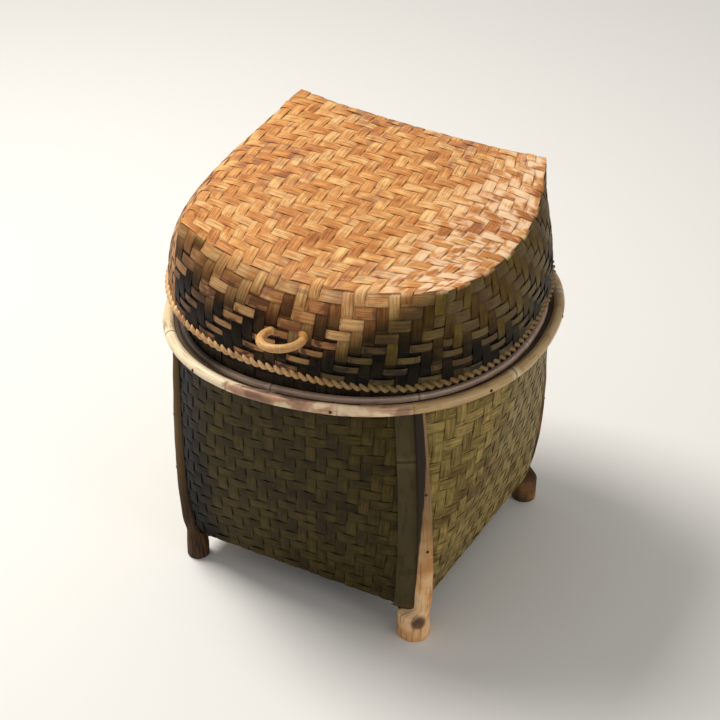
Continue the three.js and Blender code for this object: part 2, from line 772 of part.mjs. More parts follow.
// The lid rests where its seat hoop first meets the collar's sloping top.
function lidRestHeight() {
  const collarEdge = evenOutline(mouthShape(collarHalf - collarTaper));
  const turnBack = new THREE.Vector2();
  const heights = collarEdge.map((p) => {
    const inLid = p.clone().sub(new THREE.Vector2(lidShiftX, lidShiftY)).rotateAround(turnBack, -lidTurn);
    return leanHeight(p.x, p.y, collarTop) - lidSkew(inLid.x, inLid.y, seatHoopUp);
  });
  return Math.max(...heights) + seatGap;
}

makeBody();
makeCollar();
makeHoops();
makeBattens();
makeLegs();
makeLid();
makeSeatHoop();
addPiece("pull_ring", pullRing(0), cane, lid);

lid.rotation.z = lidTurn;
lid.position.set(lidShiftX, lidShiftY, lidRestHeight());

// The origin is the middle of the whole basket's box on the ground, so the pull
// ring in front moves the basket's axis back by half of what it sticks out.
const model = new THREE.Group();
model.add(basket, lid);
model.updateMatrixWorld(true);
const middle = new THREE.Box3().setFromObject(model, true).getCenter(new THREE.Vector3());
model.position.set(-middle.x, -middle.y, 0);

export default model;
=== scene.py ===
# %% [markdown]
# # A lidded wicker basket on stick legs
# The real basket is plaited from split bamboo in a 2/2 twill: every strip goes over two
# and under two of the others, one step further on in each row. The body is square at the
# floor and nearly round at the mouth, two cane hoops grip its rim, four whittled sticks
# stand at its corners, and a pillow-shaped lid with a cane pull ring sits askew on it.
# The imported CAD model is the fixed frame. Every cell below dresses one part of it.

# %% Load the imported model
import random
from math import atan, atan2, copysign, cos, hypot, pi, radians, sin, sqrt, tan, tau

import bmesh
import bpy
from mathutils import Matrix, Vector, noise


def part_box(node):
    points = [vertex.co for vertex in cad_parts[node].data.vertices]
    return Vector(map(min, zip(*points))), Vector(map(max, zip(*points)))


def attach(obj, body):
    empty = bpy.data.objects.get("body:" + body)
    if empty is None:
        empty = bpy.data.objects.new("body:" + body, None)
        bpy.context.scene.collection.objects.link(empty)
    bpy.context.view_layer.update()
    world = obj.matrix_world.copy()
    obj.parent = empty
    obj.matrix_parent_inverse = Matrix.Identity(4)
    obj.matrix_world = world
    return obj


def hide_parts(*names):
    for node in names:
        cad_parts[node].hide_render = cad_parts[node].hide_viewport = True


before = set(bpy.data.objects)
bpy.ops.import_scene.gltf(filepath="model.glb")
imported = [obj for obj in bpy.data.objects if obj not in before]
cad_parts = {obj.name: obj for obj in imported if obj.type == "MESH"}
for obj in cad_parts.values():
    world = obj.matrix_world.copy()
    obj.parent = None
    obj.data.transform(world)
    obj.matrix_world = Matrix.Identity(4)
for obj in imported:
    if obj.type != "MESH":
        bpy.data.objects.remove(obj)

random.seed(7)
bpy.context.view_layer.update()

# %% [markdown]
# The shapes are worked out in millimetres about the basket's own upright axis, and are
# turned into metres at the last moment. The pull ring sticks out in front, so the axis
# lies a little behind the middle of the model: the inner rim hoop tells where.

# %% Find the axes of the basket and of its lid
MM = 0.001


def add_object(name, data):
    made = bpy.data.objects.new(name, data)
    bpy.context.collection.objects.link(made)
    return made


def middle_of(node):
    low, high = (Vector(corner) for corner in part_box(node))
    return (low + high) / 2


basket_axis = middle_of("rim_hoop_inner")
basket_axis.z = 0
lid_origin = middle_of("lid_border")
print("basket axis", [round(c / MM, 2) for c in basket_axis])
print("lid origin", [round(c / MM, 2) for c in lid_origin])

# %% [markdown]
# The camera stands where the photographer stood. Its angle, distance and lens come from
# matching the rim, the lid's corners and the three visible feet.

# %% Set up the camera
CAMERA_TURN, CAMERA_TILT = radians(29.25), radians(33.93)
CAMERA_DISTANCE, LENS, SENSOR = 1636.46, 105.35, 36
AIM_HEIGHT, AIM_LEFT = 161.44, 3.39

to_camera = Vector((sin(CAMERA_TURN) * cos(CAMERA_TILT),
                    -cos(CAMERA_TURN) * cos(CAMERA_TILT), sin(CAMERA_TILT)))
to_right = Vector((cos(CAMERA_TURN), sin(CAMERA_TURN), 0))
aim = basket_axis + (Vector((0, 0, AIM_HEIGHT)) - to_right * AIM_LEFT) * MM
camera = add_object("camera", bpy.data.cameras.new("camera"))
camera.data.lens, camera.data.sensor_width = LENS, SENSOR
camera.location = aim + to_camera * CAMERA_DISTANCE * MM
camera.rotation_euler = to_camera.to_track_quat("Z", "Y").to_euler()
bpy.context.scene.camera = camera
print("camera at", [round(c, 3) for c in camera.location])

# %% [markdown]
# A rounded square is the outline of everything here. Its corner value runs from near 0,
# a sharp square, to 0.5, a circle. The wall's outline changes on the way up: it widens,
# rounds off and turns a little, the mouth slopes, and the wall leans halfway up.

# %% Describe the wall's shape
FLOOR_Z, MOUTH_Z, EDGE_Z = 24.3, 213.1, 212.0
BOTTOM_HALF, MOUTH_HALF = 102.51, 141.2
BOTTOM_CORNER, MOUTH_CORNER = 0.05, 0.4525
MOUTH_TURN = radians(8)
WALL_THICKNESS, FLARE, ROUNDING = 3.0, 0.9, 1.2
WALL_SWAY, MOUTH_CLIMB, MOUTH_FALL = 0.9, 0.036, 0.017


def mix(a, b, share):
    return a + (b - a) * share


def rounded_square(half, corner, angle):
    across, along = abs(cos(angle)), abs(sin(angle))
    return half / (across ** (1 / corner) + along ** (1 / corner)) ** corner


def rise_of(z):
    return min(max((z - FLOOR_Z) / (MOUTH_Z - FLOOR_Z), 0), 1)


def wall_radius(z, angle, inset=0.0):
    """Distance of the wall's outer face from the axis, less an inset, in mm."""
    rise = rise_of(z)
    half = mix(BOTTOM_HALF, MOUTH_HALF, rise ** FLARE) - inset
    corner = mix(BOTTOM_CORNER, MOUTH_CORNER, rise ** ROUNDING)
    return rounded_square(half, corner, angle - MOUTH_TURN * rise)


def in_basket(x, y, z):
    """A level point in mm, carried along by the basket's lean, in metres."""
    rise = rise_of(z)
    sway = WALL_SWAY * sin(pi * rise)
    x, y = x + sway, y + sway
    return Vector((x, y, z + rise * (MOUTH_CLIMB * x - MOUTH_FALL * y))) * MM + basket_axis


def ray(length, angle):
    return length * cos(angle), length * sin(angle)


def around_basket(radius, angle, z):
    return in_basket(*ray(radius, angle), z)


print("front corner of the mouth", [round(c, 3) for c in around_basket(
    wall_radius(MOUTH_Z, radians(-45)), radians(-45), MOUTH_Z)])

# %% [markdown]
# The lid is a pillow. Its border is nearly round, and its top is a square with four
# raised corners whose sides bulge out and sag between them. It lies tilted and turned.

# %% Describe the lid's shape
LID_HALF, LID_CORNER = 140.0, 0.42
LID_TURN = radians(6.6)
PEAKS = [Vector(p) for p in (
    (110.9, 98.8, 75), (-96.6, 104.7, 79), (-98.7, -105, 76), (107.5, -102.2, 76.5))]
BULGES = (18, 9, 13, 20)
SAG, CROWN_DIP = 9.8, 3.1
LID_FALL, LID_CLIMB = 0.052, 0.03


def on_lid(x, y, z):
    """A point in the lid's own level mm, tilted, turned and set in place, in metres."""
    tilted = Vector((x, y, z - LID_FALL * x + LID_CLIMB * y))
    return Matrix.Rotation(LID_TURN, 3, "Z") @ tilted * MM + lid_origin


def lid_top(a, b, inset):
    """Point of the lid's top at a across and b along, both from -1 to 1."""
    right_back, left_back, left_front, right_front = (
        p - Vector((copysign(inset, p.x), copysign(inset, p.y), inset)) for p in PEAKS)
    back = left_back.lerp(right_back, (1 + a) / 2)
    front = left_front.lerp(right_front, (1 + a) / 2)
    point = front.lerp(back, (1 + b) / 2)
    point.x += (BULGES[0] * (1 + a) - BULGES[2] * (1 - a)) / 2 * (1 - b * b)
    point.y += (BULGES[1] * (1 + b) - BULGES[3] * (1 - b)) / 2 * (1 - a * a)
    point.z -= SAG * (abs(a) ** 3 * (1 - b * b) + abs(b) ** 3 * (1 - a * a))
    point.z -= CROWN_DIP * (1 - a * a) * (1 - b * b)
    return point


print("highest peak", round(max(on_lid(*p).z for p in PEAKS), 4))

# %% [markdown]
# The maker plaits the flat sheet first, over a square board, and then turns the strips up
# at the edges and goes on round and round with new strips. So the strips that cross on
# the floor are also the stakes of the wall, and the same goes for the lid and its top.
# A mould does the same here. It is a box with one side missing, cut into a net with four
# cells to each strip, and every point of the net is moved to the surface that the basket
# has there. The strips are then bent over it like real ones.

# %% Make a mould for the strips
CELLS = 4
HALF = CELLS // 2
NEAR_EDGE, NEAR_CORNER = 3, 2.5


def box_net(strips, rows):
    """The net of a box, flat face up: strips across each way, rows down its sides."""
    net = bmesh.new()
    bmesh.ops.create_cube(net, size=2)
    open_side = [f for f in net.faces if f.normal.z < -0.5]
    bmesh.ops.delete(net, geom=open_side, context="FACES_ONLY")
    for upright, parts in ((False, strips), (True, rows)):
        edges = [e for e in net.edges
                 if (abs(e.verts[0].co.z - e.verts[1].co.z) > 1) == upright]
        bmesh.ops.subdivide_edges(net, edges=edges, cuts=CELLS * parts - 1, use_grid_fill=True)
    return net


def side_and_share(a, b):
    """Which side a place on the box's edge is on, and how far along, from -1 to 1."""
    if abs(a) >= abs(b):
        return (0, b / a) if a > 0 else (2, b / a)
    return (1, -a / b) if b > 0 else (3, -a / b)


def shape_mould(strips, rows, flat_place, side_place, rounds, corner_rounds):
    """Moves a net to a surface and softens its edge, less at the corners.
    Returns each point's place, its outward direction and the sides that it is on."""
    net = box_net(strips, rows)
    keys = {}
    near_edge, near_corner = [], set()
    for v in net.verts:
        a, b, down = v.co.x, v.co.y, (1 - v.co.z) / 2
        i, j = (round((c + 1) / 2 * CELLS * strips) for c in (a, b))
        keys[v] = (i, j, round(down * CELLS * rows))
        if down < 1e-6:
            v.co = flat_place(a, b)
        else:
            v.co = side_place(*side_and_share(a, b), down)
        if down * rows < NEAR_EDGE and max(abs(a), abs(b)) > 1 - 2 * NEAR_EDGE / strips:
            near_edge.append(v)
            if min(abs(a), abs(b)) > 1 - 2 * NEAR_CORNER / strips:
                near_corner.add(v)
    off_corner = [v for v in near_edge if v not in near_corner]
    for turn in range(rounds):
        softened = near_edge if turn < corner_rounds else off_corner
        bmesh.ops.smooth_vert(
            net, verts=softened, factor=0.5, use_axis_x=True, use_axis_y=True, use_axis_z=True)
    net.normal_update()
    top = max(net.verts, key=lambda v: -keys[v][2])
    middle = sum((v.co for v in net.verts), Vector()) / len(net.verts)
    flip = 1 if top.normal.dot(top.co - middle) > 0 else -1
    mould = {}
    for v, (i, j, down) in keys.items():
        on_side = down > 0
        sides = on_side, on_side and i == CELLS * strips, on_side and j == 0
        mould[i, j, down] = (v.co.copy(), v.normal * flip, sides)
    print("mould of", len(mould), "points, flipped" if flip < 0 else "points")
    net.free()
    return mould


# %% [markdown]
# A strip is one flat grid, bent along a line of the mould. Where it passes over another
# it is lifted by half of a strip's thickness and a little more, and where it passes
# under it sinks as much. Its width wanders slightly, as split bamboo does. The strip
# keeps a UV map with its length and width for the grain, and a shade of its own. Three
# more marks tell whether a point is on a side at all, on the right one or on the front one.

# %% Bend a strip over a mould
SIDES = ("any_side", "right_side", "front_side")
STRIP_THICKNESS, LIFT = 0.7, 0.62
PUFF, CROWN = 0.16, 0.2
STRIP_SHADE, CROSSING_SHADE = 0.45, 0.55
WIDTH_WANDER, COURSE_WANDER = 0.05, 0.04
ACROSS = (-1, -0.45, 0.45, 1)


def swing(share):
    share = min(max(share, 0), 1)
    return share * share * (3 - 2 * share)


def lift_at(step, over, closed):
    """How far a strip is lifted, in mm, at a number of cells from its start."""
    crossing = (step - HALF) / CELLS
    before = int(crossing // 1)
    part = crossing - before
    count = len(over)

    def pick(n):
        return over[n % count if closed else min(max(n, 0), count - 1)]

    low, high = (LIFT if pick(n) else -LIFT for n in (before, before + 1))
    puff = PUFF * sin(pi * part) if low == high > 0 else 0
    return mix(low, high, swing(part)) + puff


def float_shades(over):
    """A shade for each crossing of a strip. It changes where the strip dives or comes up."""
    base, shades = random.random(), []
    for n, state in enumerate(over):
        if n == 0 or state != over[n - 1]:
            own = random.random()
        shades.append(STRIP_SHADE * base + CROSSING_SHADE * own)
    return shades


def lay_strip(cloth, mould, middle, left, right, over, closed, cover):
    """Adds one strip. middle, left and right list its places in the mould, and cover
    tells how much of the room between its neighbours it fills at a place."""
    shades = float_shades(over)
    drift = random.random() * 100
    steps = len(middle) if closed else len(middle) - 1
    made = bmesh.ops.create_grid(cloth, x_segments=steps, y_segments=3, size=0.5, calc_uvs=True)
    course = [mould[key][0] for key in middle]
    length = sum((b - a).length for a, b in zip(course, course[1:]))
    half_width = (mould[left[0]][0] - mould[right[0]][0]).length / 2
    faces = set()
    for v in made["verts"]:
        step = round((v.co.x + 0.5) * steps)
        across = ACROSS[round((v.co.y + 0.5) * 3)]
        place, out, sides = mould[middle[step % len(middle)]]
        edge = (mould[left[step % len(left)]][0] - mould[right[step % len(right)]][0]) / 2
        along = step / steps * (tau if closed else 9)
        wander = noise.noise(Vector((cos(along) * 2.5, sin(along) * 2.5, drift)))
        wide = cover(middle[step % len(middle)]) * (1 + WIDTH_WANDER * wander)
        rise = lift_at(step, over, closed) + CROWN * (1 - across * across) + STRIP_THICKNESS / 2
        v.co = place + edge * (across * wide + COURSE_WANDER * wander) + out * rise * MM
        crossing = min(max((step - 1) // CELLS, 0), len(shades) - 1)
        v[cloth.verts.layers.float["shade"]] = shades[crossing]
        for side, is_on in zip(SIDES, sides):
            v[cloth.verts.layers.float[side]] = float(is_on)
        faces.update(v.link_faces)
    sample = v.link_faces[0]
    sample.normal_update()
    if sample.normal.dot(out) < 0:
        bmesh.ops.reverse_faces(cloth, faces=list(faces))
    grain = cloth.loops.layers.uv.active
    for face in faces:
        for corner in face.loops:
            corner[grain].uv.x *= length / (2 * half_width)
    if closed:
        bmesh.ops.remove_doubles(cloth, verts=made["verts"], dist=0.0001)


# %% [markdown]
# Three families of strips make each woven part. Two cross on the flat face and run down
# opposite sides, and the third goes round the sides. Twill is a rule on two numbers: a
# strip is on top where its number less the other's leaves 2 or 3 when divided by 4. The
# rule carries on from the flat face down the sides, so the steps run through the edge.

# %% List the strips of a woven part
def on_top(i, j):
    return (i - j) % 4 in (2, 3)


def stakes(strips, rows, along_y):
    """Strips over the flat face and down two opposite sides, along x or along y."""
    full, deep = CELLS * strips, CELLS * rows
    course = ([(0, k) for k in range(deep, 0, -1)] + [(m, 0) for m in range(full + 1)]
              + [(full, k) for k in range(1, deep + 1)])
    for n in range(strips):
        def line(at):
            return [(at, m, k) if along_y else (m, at, k) for m, k in course]
        places = range(-rows, strips + rows)
        over = [on_top(n, m) if along_y else not on_top(m, n) for m in places]
        at, step = CELLS * n + HALF, -HALF if along_y else HALF
        yield line(at), line(at + step), line(at - step), over


def weavers(strips, rows):
    """Strips that go round the sides."""
    full = CELLS * strips
    for v in range(rows):
        def line(at):
            return ([(i, 0, at) for i in range(full)] + [(full, j, at) for j in range(full)]
                    + [(full - i, full, at) for i in range(full)]
                    + [(0, full - j, at) for j in range(full)])
        over = ([not on_top(i, -1 - v) for i in range(strips)]
                + [on_top(strips + v, j) for j in range(strips)]
                + [not on_top(i, strips + v) for i in reversed(range(strips))]
                + [on_top(-1 - v, j) for j in reversed(range(strips))])
        at = CELLS * v + HALF
        yield line(at), line(at - HALF), line(at + HALF), over

# %% [markdown]
# Every finish is built from nodes. A few lines here save writing each link out: a node is
# named by its kind, and an input is given either a plain value or another node's output.
# An output knows the finish that it belongs to, so only the first nodes have to be told.

# %% Helpers for finishes
def new_finish(name):
    finish = bpy.data.materials.new(name)
    finish.use_nodes = True
    return finish


def add_node(tree, kind, settings):
    made = tree.nodes.new("ShaderNode" + kind)
    for setting, value in settings.items():
        setattr(made, setting, value)
    return made


def node(kind, inputs, **settings):
    """A node in the same finish as the outputs among its inputs."""
    joined = {k: v for k, v in inputs.items() if isinstance(v, bpy.types.NodeSocket)}
    tree = next(iter(joined.values())).id_data
    made = add_node(tree, kind, settings)
    for socket, value in inputs.items():
        if socket in joined:
            tree.links.new(value, made.inputs[socket])
        else:
            made.inputs[socket].default_value = value
    return made


def source(finish, kind, output, **settings):
    """The output of a node that has no inputs."""
    return add_node(finish.node_tree, kind, settings).outputs[output]


def object_place(finish):
    return source(finish, "TexCoord", "Object")


def told(finish, mark):
    return source(finish, "Attribute", "Fac", attribute_name=mark)


def grain_map(finish):
    """How far along and across the strip or rod a point is."""
    return node("SeparateXYZ", {0: source(finish, "UVMap", "UV")}).outputs


def maths(operation, a, b=0.0, clamp=False):
    return node("Math", {0: a, 1: b}, operation=operation, use_clamp=clamp).outputs[0]


def colour(text):
    """Linear colour from the usual six hex digits."""
    parts = [int(text[n:n + 2], 16) / 255 for n in (0, 2, 4)]
    return [p / 12.92 if p <= 0.04045 else ((p + 0.055) / 1.055) ** 2.4 for p in parts] + [1]


def blend_of(share, *colours):
    ramp = node("ValToRGB", {"Fac": share})
    steps = ramp.color_ramp.elements
    while len(steps) < len(colours):
        steps.new(0.5)
    for n, (step, text) in enumerate(zip(steps, colours)):
        step.position = n / (len(colours) - 1)
        step.color = colour(text)
    return ramp.outputs["Color"]


def times(a, b):
    return maths("MULTIPLY", a, b)


def plus(a, b, clamp=False):
    return maths("ADD", a, b, clamp)


def minus(a, b):
    return maths("SUBTRACT", a, b)


def fuzz(place, scale, detail, **more):
    """Soft noise about 0.5 at a place."""
    inputs = {"Vector": place, "Scale": scale, "Detail": detail, **more}
    return node("TexNoise", inputs).outputs["Fac"]


def tint(share, base, over, kind="MIX", most=1):
    """Lays a colour over the base, for a share of at most so much."""
    if most != 1:
        share = times(share, most)
    if isinstance(over, str):
        over = colour(over)
    mixed = node("Mix", {0: share, 6: base, 7: over}, data_type="RGBA", blend_type=kind)
    return mixed.outputs[2]


def band(value, low, high):
    """0 below low, 1 above high, smooth between."""
    return node("MapRange", {0: value, 1: low, 2: high},
                interpolation_type="SMOOTHSTEP").outputs[0]


def line_up(value, low, high, first, last):
    """The first number where the value is low, the last where it is high, even between."""
    return node("MapRange", {0: value, 1: low, 2: high, 3: first, 4: last}).outputs[0]


def finish_off(finish, base, relief, strength, depth, roughness, gloss=0.5):
    """Joins colour, bump and roughness to the shader."""
    shader = finish.node_tree.nodes["Principled BSDF"]
    shader.inputs["Specular IOR Level"].default_value = gloss
    bump = node("Bump", {"Height": relief, "Strength": strength, "Distance": depth})
    joined = {"Base Color": base, "Normal": bump.outputs[0], "Roughness": roughness}
    for socket, value in joined.items():
        finish.node_tree.links.new(value, shader.inputs[socket])
    return finish


# %% [markdown]
# Split bamboo shows long fibres along the strip, edges darkened with painted shade, as the
# gaps between strips would be, thin lines where the plant had its joints, and grey or reddish
# stains that end where one strip dives under the next. The pattern runs along the strip's own
# UV map, shifted by its shade, so that no two strips look the same.
# Painted light comes on top. Painted shade makes the lid black low on its sides, in patches
# from the middle to the right, and olive on its right side and round the front corner, and a
# painted highlight makes the right edge of its top pale. Painted shade dims the body's front
# face and makes its left end nearly black.

# %% Make the finish of the split bamboo
# Painted light colours: black shade low on the lid, a pale highlight on its top's right edge,
# olive shade on its right side, and the shade that dims the body's front and left end.
LOW_SHADE_BLACK, TOP_HIGHLIGHT_PALE, RIGHT_SHADE_OLIVE = "120c07", "f8dfc2", "737c55"
FRONT_SHADE, LEFT_END_SHADE = "7c795a", "403d34"


def lid_painted_light(shade_from, shade_full, shade_share, patchy):
    """Painted shade from one height down to full at another, for a share, and how patchy it is."""
    def paint_light(finish, base, edge, shade, patches, uneven):
        any_side, right_side, front_side = (told(finish, side) for side in SIDES)
        x, _, z = node("SeparateXYZ", {0: object_place(finish)}).outputs
        # Painted shade: the sides go black low down, most in front and on the right. It is full on
        # the left and patchy from the middle to the right, and the gaps there are darker still.
        height = plus(z, times(x, 0.2))
        height = plus(height, times(minus(shade, 0.5), 0.05))
        low = band(plus(height, uneven), shade_from, shade_full)
        shaded_sides = maths("MAXIMUM", right_side, front_side)
        shaded_sides = maths("MAXIMUM", shaded_sides, times(any_side, 0.3))
        low = times(low, shaded_sides)
        spared = times(band(patches, 0.44, 0.5), patchy)
        shade_spread = plus(band(x, 0.0, -0.1), minus(1.0, spared), clamp=True)
        base = tint(times(times(low, shade_share), shade_spread), base, LOW_SHADE_BLACK)
        edge = plus(edge, times(low, 0.4), clamp=True)
        # Painted highlight: the top is paler in patches along its right edge.
        top_highlight = times(band(x, 0.045, 0.1), band(patches, 0.42, 0.58))
        top_highlight = times(top_highlight, minus(1.0, any_side))
        base = tint(top_highlight, base, TOP_HIGHLIGHT_PALE, most=0.5)
        # Painted shade: the right side and the front corner below it go olive.
        nearness = minus(plus(x, uneven), times(z, 1.3))
        corner = times(front_side, band(nearness, -0.3, -0.265))
        right_shade = maths("MAXIMUM", right_side, corner)
        return tint(right_shade, base, RIGHT_SHADE_OLIVE, "MULTIPLY"), edge
    return paint_light


def body_painted_shade(finish, base, edge, shade, patches, uneven):
    # Painted shade: the front face is dimmed, and its left end darkened nearly to black.
    x, y, _ = node("SeparateXYZ", {0: object_place(finish)}).outputs
    from_middle = maths("ABSOLUTE", minus(x, basket_axis.x))
    forward = minus(basket_axis.y, y)
    front = band(minus(forward, from_middle), -0.004, 0.004)
    base = tint(front, base, FRONT_SHADE, "MULTIPLY")
    shaded_left_end = times(front, band(plus(x, uneven), -0.04, -0.07))
    return tint(shaded_left_end, base, LEFT_END_SHADE, "MULTIPLY"), edge


def bamboo_finish(name, tones, stain, stain_from, gap_shade, gap_shade_share, gloss, paint_light=None):
    finish = new_finish(name)
    along, across, _ = grain_map(finish)
    shade = told(finish, "shade")
    apart = times(shade, 57.0)

    def streaks(length, width, detail):
        at = node("CombineXYZ", {0: times(along, length), 1: times(across, width), 2: apart})
        return fuzz(at.outputs[0], 1.0, detail, Roughness=0.6)

    fibres = streaks(0.35, 11.0, 4.0)
    patches = streaks(0.55, 0.7, 2.0)
    mood = plus(times(shade, 0.55), times(band(patches, 0.3, 0.7), 0.45))
    base = blend_of(mood, *tones)
    base = tint(band(fibres, 0.62, 0.38), base, stain, "MULTIPLY", most=0.5)
    spread = fuzz(object_place(finish), 14.0, 3.0)
    dirt = times(band(spread, stain_from, stain_from + 0.2),
                 band(streaks(0.9, 0.4, 1.0), 0.48, 0.6))
    base = tint(dirt, base, stain, most=0.55)
    joint = maths("FRACT", plus(times(along, 0.043), apart))
    joint = maths("LESS_THAN", joint, 0.014)
    base = tint(joint, base, stain, most=0.45)
    # Painted shade: the strips' edges are darkened, as the gaps between strips lie in shade.
    off_middle = maths("ABSOLUTE", minus(across, 0.5))
    edge = times(band(off_middle, 0.34, 0.5), gap_shade_share)
    if paint_light:
        base, edge = paint_light(finish, base, edge, shade, patches, times(spread, 0.03))
    base = tint(edge, base, gap_shade, "MULTIPLY")
    relief = plus(fibres, times(joint, 0.8))
    rough = line_up(fibres, 0.3, 0.7, 0.42, 0.62)
    return finish_off(finish, base, relief, 0.55, 0.0004, rough, gloss)


BODY_TONES = ("554624", "776237", "8f7c45", "ab9359", "6f5b30")
LID_TONES = ("a8693b", "c8864c", "dca060", "ecbf80", "cd8d60")
body_bamboo = bamboo_finish(
    "body_bamboo", BODY_TONES, "4c3818", 0.5, "4f4127", 0.3, 0.1, body_painted_shade)
lid_bamboo, lid_stake_bamboo = (
    bamboo_finish(name, LID_TONES, "7a4f4c", 0.47, "5a3a22", 0.35, gloss, paint_light)
    for name, gloss, paint_light in (("lid_bamboo", 0.3, lid_painted_light(0.32, 0.265, 0.75, 1.0)),
                              ("lid_stake_bamboo", 0.1, lid_painted_light(0.325, 0.275, 0.98, 0.1))))
print("finishes", body_bamboo.name, lid_bamboo.name, lid_stake_bamboo.name)

# %% [markdown]
# A woven piece is a cloth of strips. They are laid one by one on the mould, and then all
# of them get the thickness of split bamboo at once, inwards from the face that shows.

# %% Weave the body
def keep_piece(name, mesh_work, body, slot, finish, *stands_for, sharp=40):
    mesh = bpy.data.meshes.new(name)
    mesh_work.to_mesh(mesh)
    mesh_work.free()
    mesh.shade_smooth()
    mesh.set_sharp_from_angle(angle=radians(sharp))
    mesh.materials.append(finish)
    piece = add_object(name, mesh)
    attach(piece, body)
    if stands_for:
        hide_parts(*stands_for)
    print(name, sum(len(p.vertices) - 2 for p in mesh.polygons), "triangles")
    return piece


def new_cloth():
    cloth = bmesh.new()
    cloth.loops.layers.uv.new("grain")
    cloth.verts.layers.float.new("shade")
    for side in SIDES:
        cloth.verts.layers.float.new(side)
    return cloth


def tight(place):
    """The body's strips all but touch each other."""
    return 0.99


def weave(name, mould, family, body, slot, finish, *stands_for, cover=tight, closed=False):
    cloth = new_cloth()
    for middle, left, right, over in family:
        lay_strip(cloth, mould, middle, left, right, over, closed, cover)
    bmesh.ops.solidify(cloth, geom=cloth.faces[:], thickness=STRIP_THICKNESS * MM)
    return keep_piece(name, cloth, body, slot, finish, *stands_for)


BODY_STRIPS, BODY_ROWS = 26, 22
MOULD_IN, EDGE_IN = 1.5, 0.9


def floor_place(a, b):
    side, share = side_and_share(a, b) if a or b else (0, 0)
    turned = atan(share)
    angle = side * pi / 2 + turned
    reach = max(abs(a), abs(b)) / cos(turned)
    corner = rounded_square(BOTTOM_HALF - MOULD_IN, BOTTOM_CORNER, angle) * cos(turned)
    return around_basket(corner * reach, angle, FLOOR_Z + MOULD_IN)


def wall_place(side, share, up):
    z = mix(FLOOR_Z + MOULD_IN, EDGE_Z, up)
    rise = rise_of(z)
    angle = mix(atan(share), share * pi / 4, rise)
    angle = angle + side * pi / 2 + MOUTH_TURN * rise
    inset = mix(MOULD_IN, EDGE_IN, rise ** 8)
    return around_basket(wall_radius(z, angle, inset), angle, z)


body_mould = shape_mould(BODY_STRIPS, BODY_ROWS, floor_place, wall_place,
                         rounds=2, corner_rounds=2)
BODY = "basket", "body_weave", body_bamboo, "woven_body"
weave("body_stakes_across", body_mould, stakes(BODY_STRIPS, BODY_ROWS, False), *BODY)
weave("body_stakes_along", body_mould, stakes(BODY_STRIPS, BODY_ROWS, True), *BODY)
weave("body_weavers", body_mould, weavers(BODY_STRIPS, BODY_ROWS), *BODY, closed=True)

# %% [markdown]
# The lid is plaited in the same way, over a squarer and flatter mould. Its edge between
# top and side is soft, and the strips of its sides fan out towards the round border.

# %% Weave the lid
LID_STRIPS, LID_ROWS = 26, 8
LID_STRIP_END, TOP_BEND = 0.5, 2.5
NARROWS_FROM, NARROWS_OVER = 0.15, 0.6


def lid_top_place(a, b):
    return on_lid(*lid_top(a, b, MOULD_IN))


def lid_side_place(side, share, down):
    rise = 1 - down
    angle = mix(share * pi / 4, atan(share), rise)
    crease_share = tan(angle)
    a, b = ((1, crease_share), (-crease_share, 1), (-1, -crease_share), (crease_share, -1))[side]
    crease = lid_top(a, b, MOULD_IN)
    turned = angle + side * pi / 2
    radius = rounded_square(LID_HALF - MOULD_IN, LID_CORNER, turned)
    bend = rise ** TOP_BEND
    x, y = (mix(low, high, bend) for low, high in zip(ray(radius, turned), crease))
    return on_lid(x, y, mix(LID_STRIP_END, crease.z, rise))


def narrowing(least):
    """The strips pull narrower low down on the lid's sides, where they fan out."""
    def cover(place):
        down = place[2] / (CELLS * LID_ROWS)
        return mix(1.0, least, swing((down - NARROWS_FROM) / NARROWS_OVER))
    return cover


lid_mould = shape_mould(LID_STRIPS, LID_ROWS, lid_top_place, lid_side_place,
                        rounds=4, corner_rounds=0)
for name, along_y in (("lid_strips_across", False), ("lid_strips_along", True)):
    weave(name, lid_mould, stakes(LID_STRIPS, LID_ROWS, along_y),
          "lid", "lid_weave", lid_stake_bamboo, "lid_shell", cover=narrowing(0.97))
weave("lid_weavers", lid_mould, weavers(LID_STRIPS, LID_ROWS),
      "lid", "lid_weave", lid_bamboo, "lid_shell", cover=narrowing(0.56), closed=True)

# %% [markdown]
# The collar is a plain woven band inside the mouth, and the lid slips over it. It is made
# of the same strips, near black with painted shade, as it lies in the lid's shadow.
# A band needs no box: a flat grid bent round is enough.

# %% Weave the collar
COLLAR_STRIPS, COLLAR_ROWS = 104, 8
COLLAR_LOW, COLLAR_TOP, HOOP_LOW = 179.1, 252.3, 208.6
COLLAR_THICKNESS = 2.5
BEHIND_WALL, BEHIND_HOOP, BEHIND_TOP = 3.9, 8.1, 9.7


def collar_inset(z):
    """How far the collar's middle lies inside the wall's outer face."""
    if z < HOOP_LOW:
        outer = mix(BEHIND_WALL, BEHIND_HOOP, (z - COLLAR_LOW) / (HOOP_LOW - COLLAR_LOW))
    else:
        rise = min(max((z - MOUTH_Z) / (COLLAR_TOP - MOUTH_Z), 0), 1)
        outer = mix(BEHIND_HOOP, BEHIND_TOP, rise)
    return outer + COLLAR_THICKNESS / 2


def band_mould(strips, rows, place):
    net = bmesh.new()
    bmesh.ops.create_grid(net, x_segments=CELLS * strips, y_segments=CELLS * rows, size=0.5)
    keys = {}
    for v in net.verts:
        along, up = v.co.x + 0.5, v.co.y + 0.5
        keys[v] = (round(along * CELLS * strips), round(up * CELLS * rows))
        v.co = place(along, up)
    net.normal_update()
    mould = {}
    for v, key in keys.items():
        outwards = v.normal if v.normal.dot(v.co - basket_axis) > 0 else -v.normal
        mould[key] = (v.co.copy(), outwards.copy(), (True, False, False))
    net.free()
    return mould


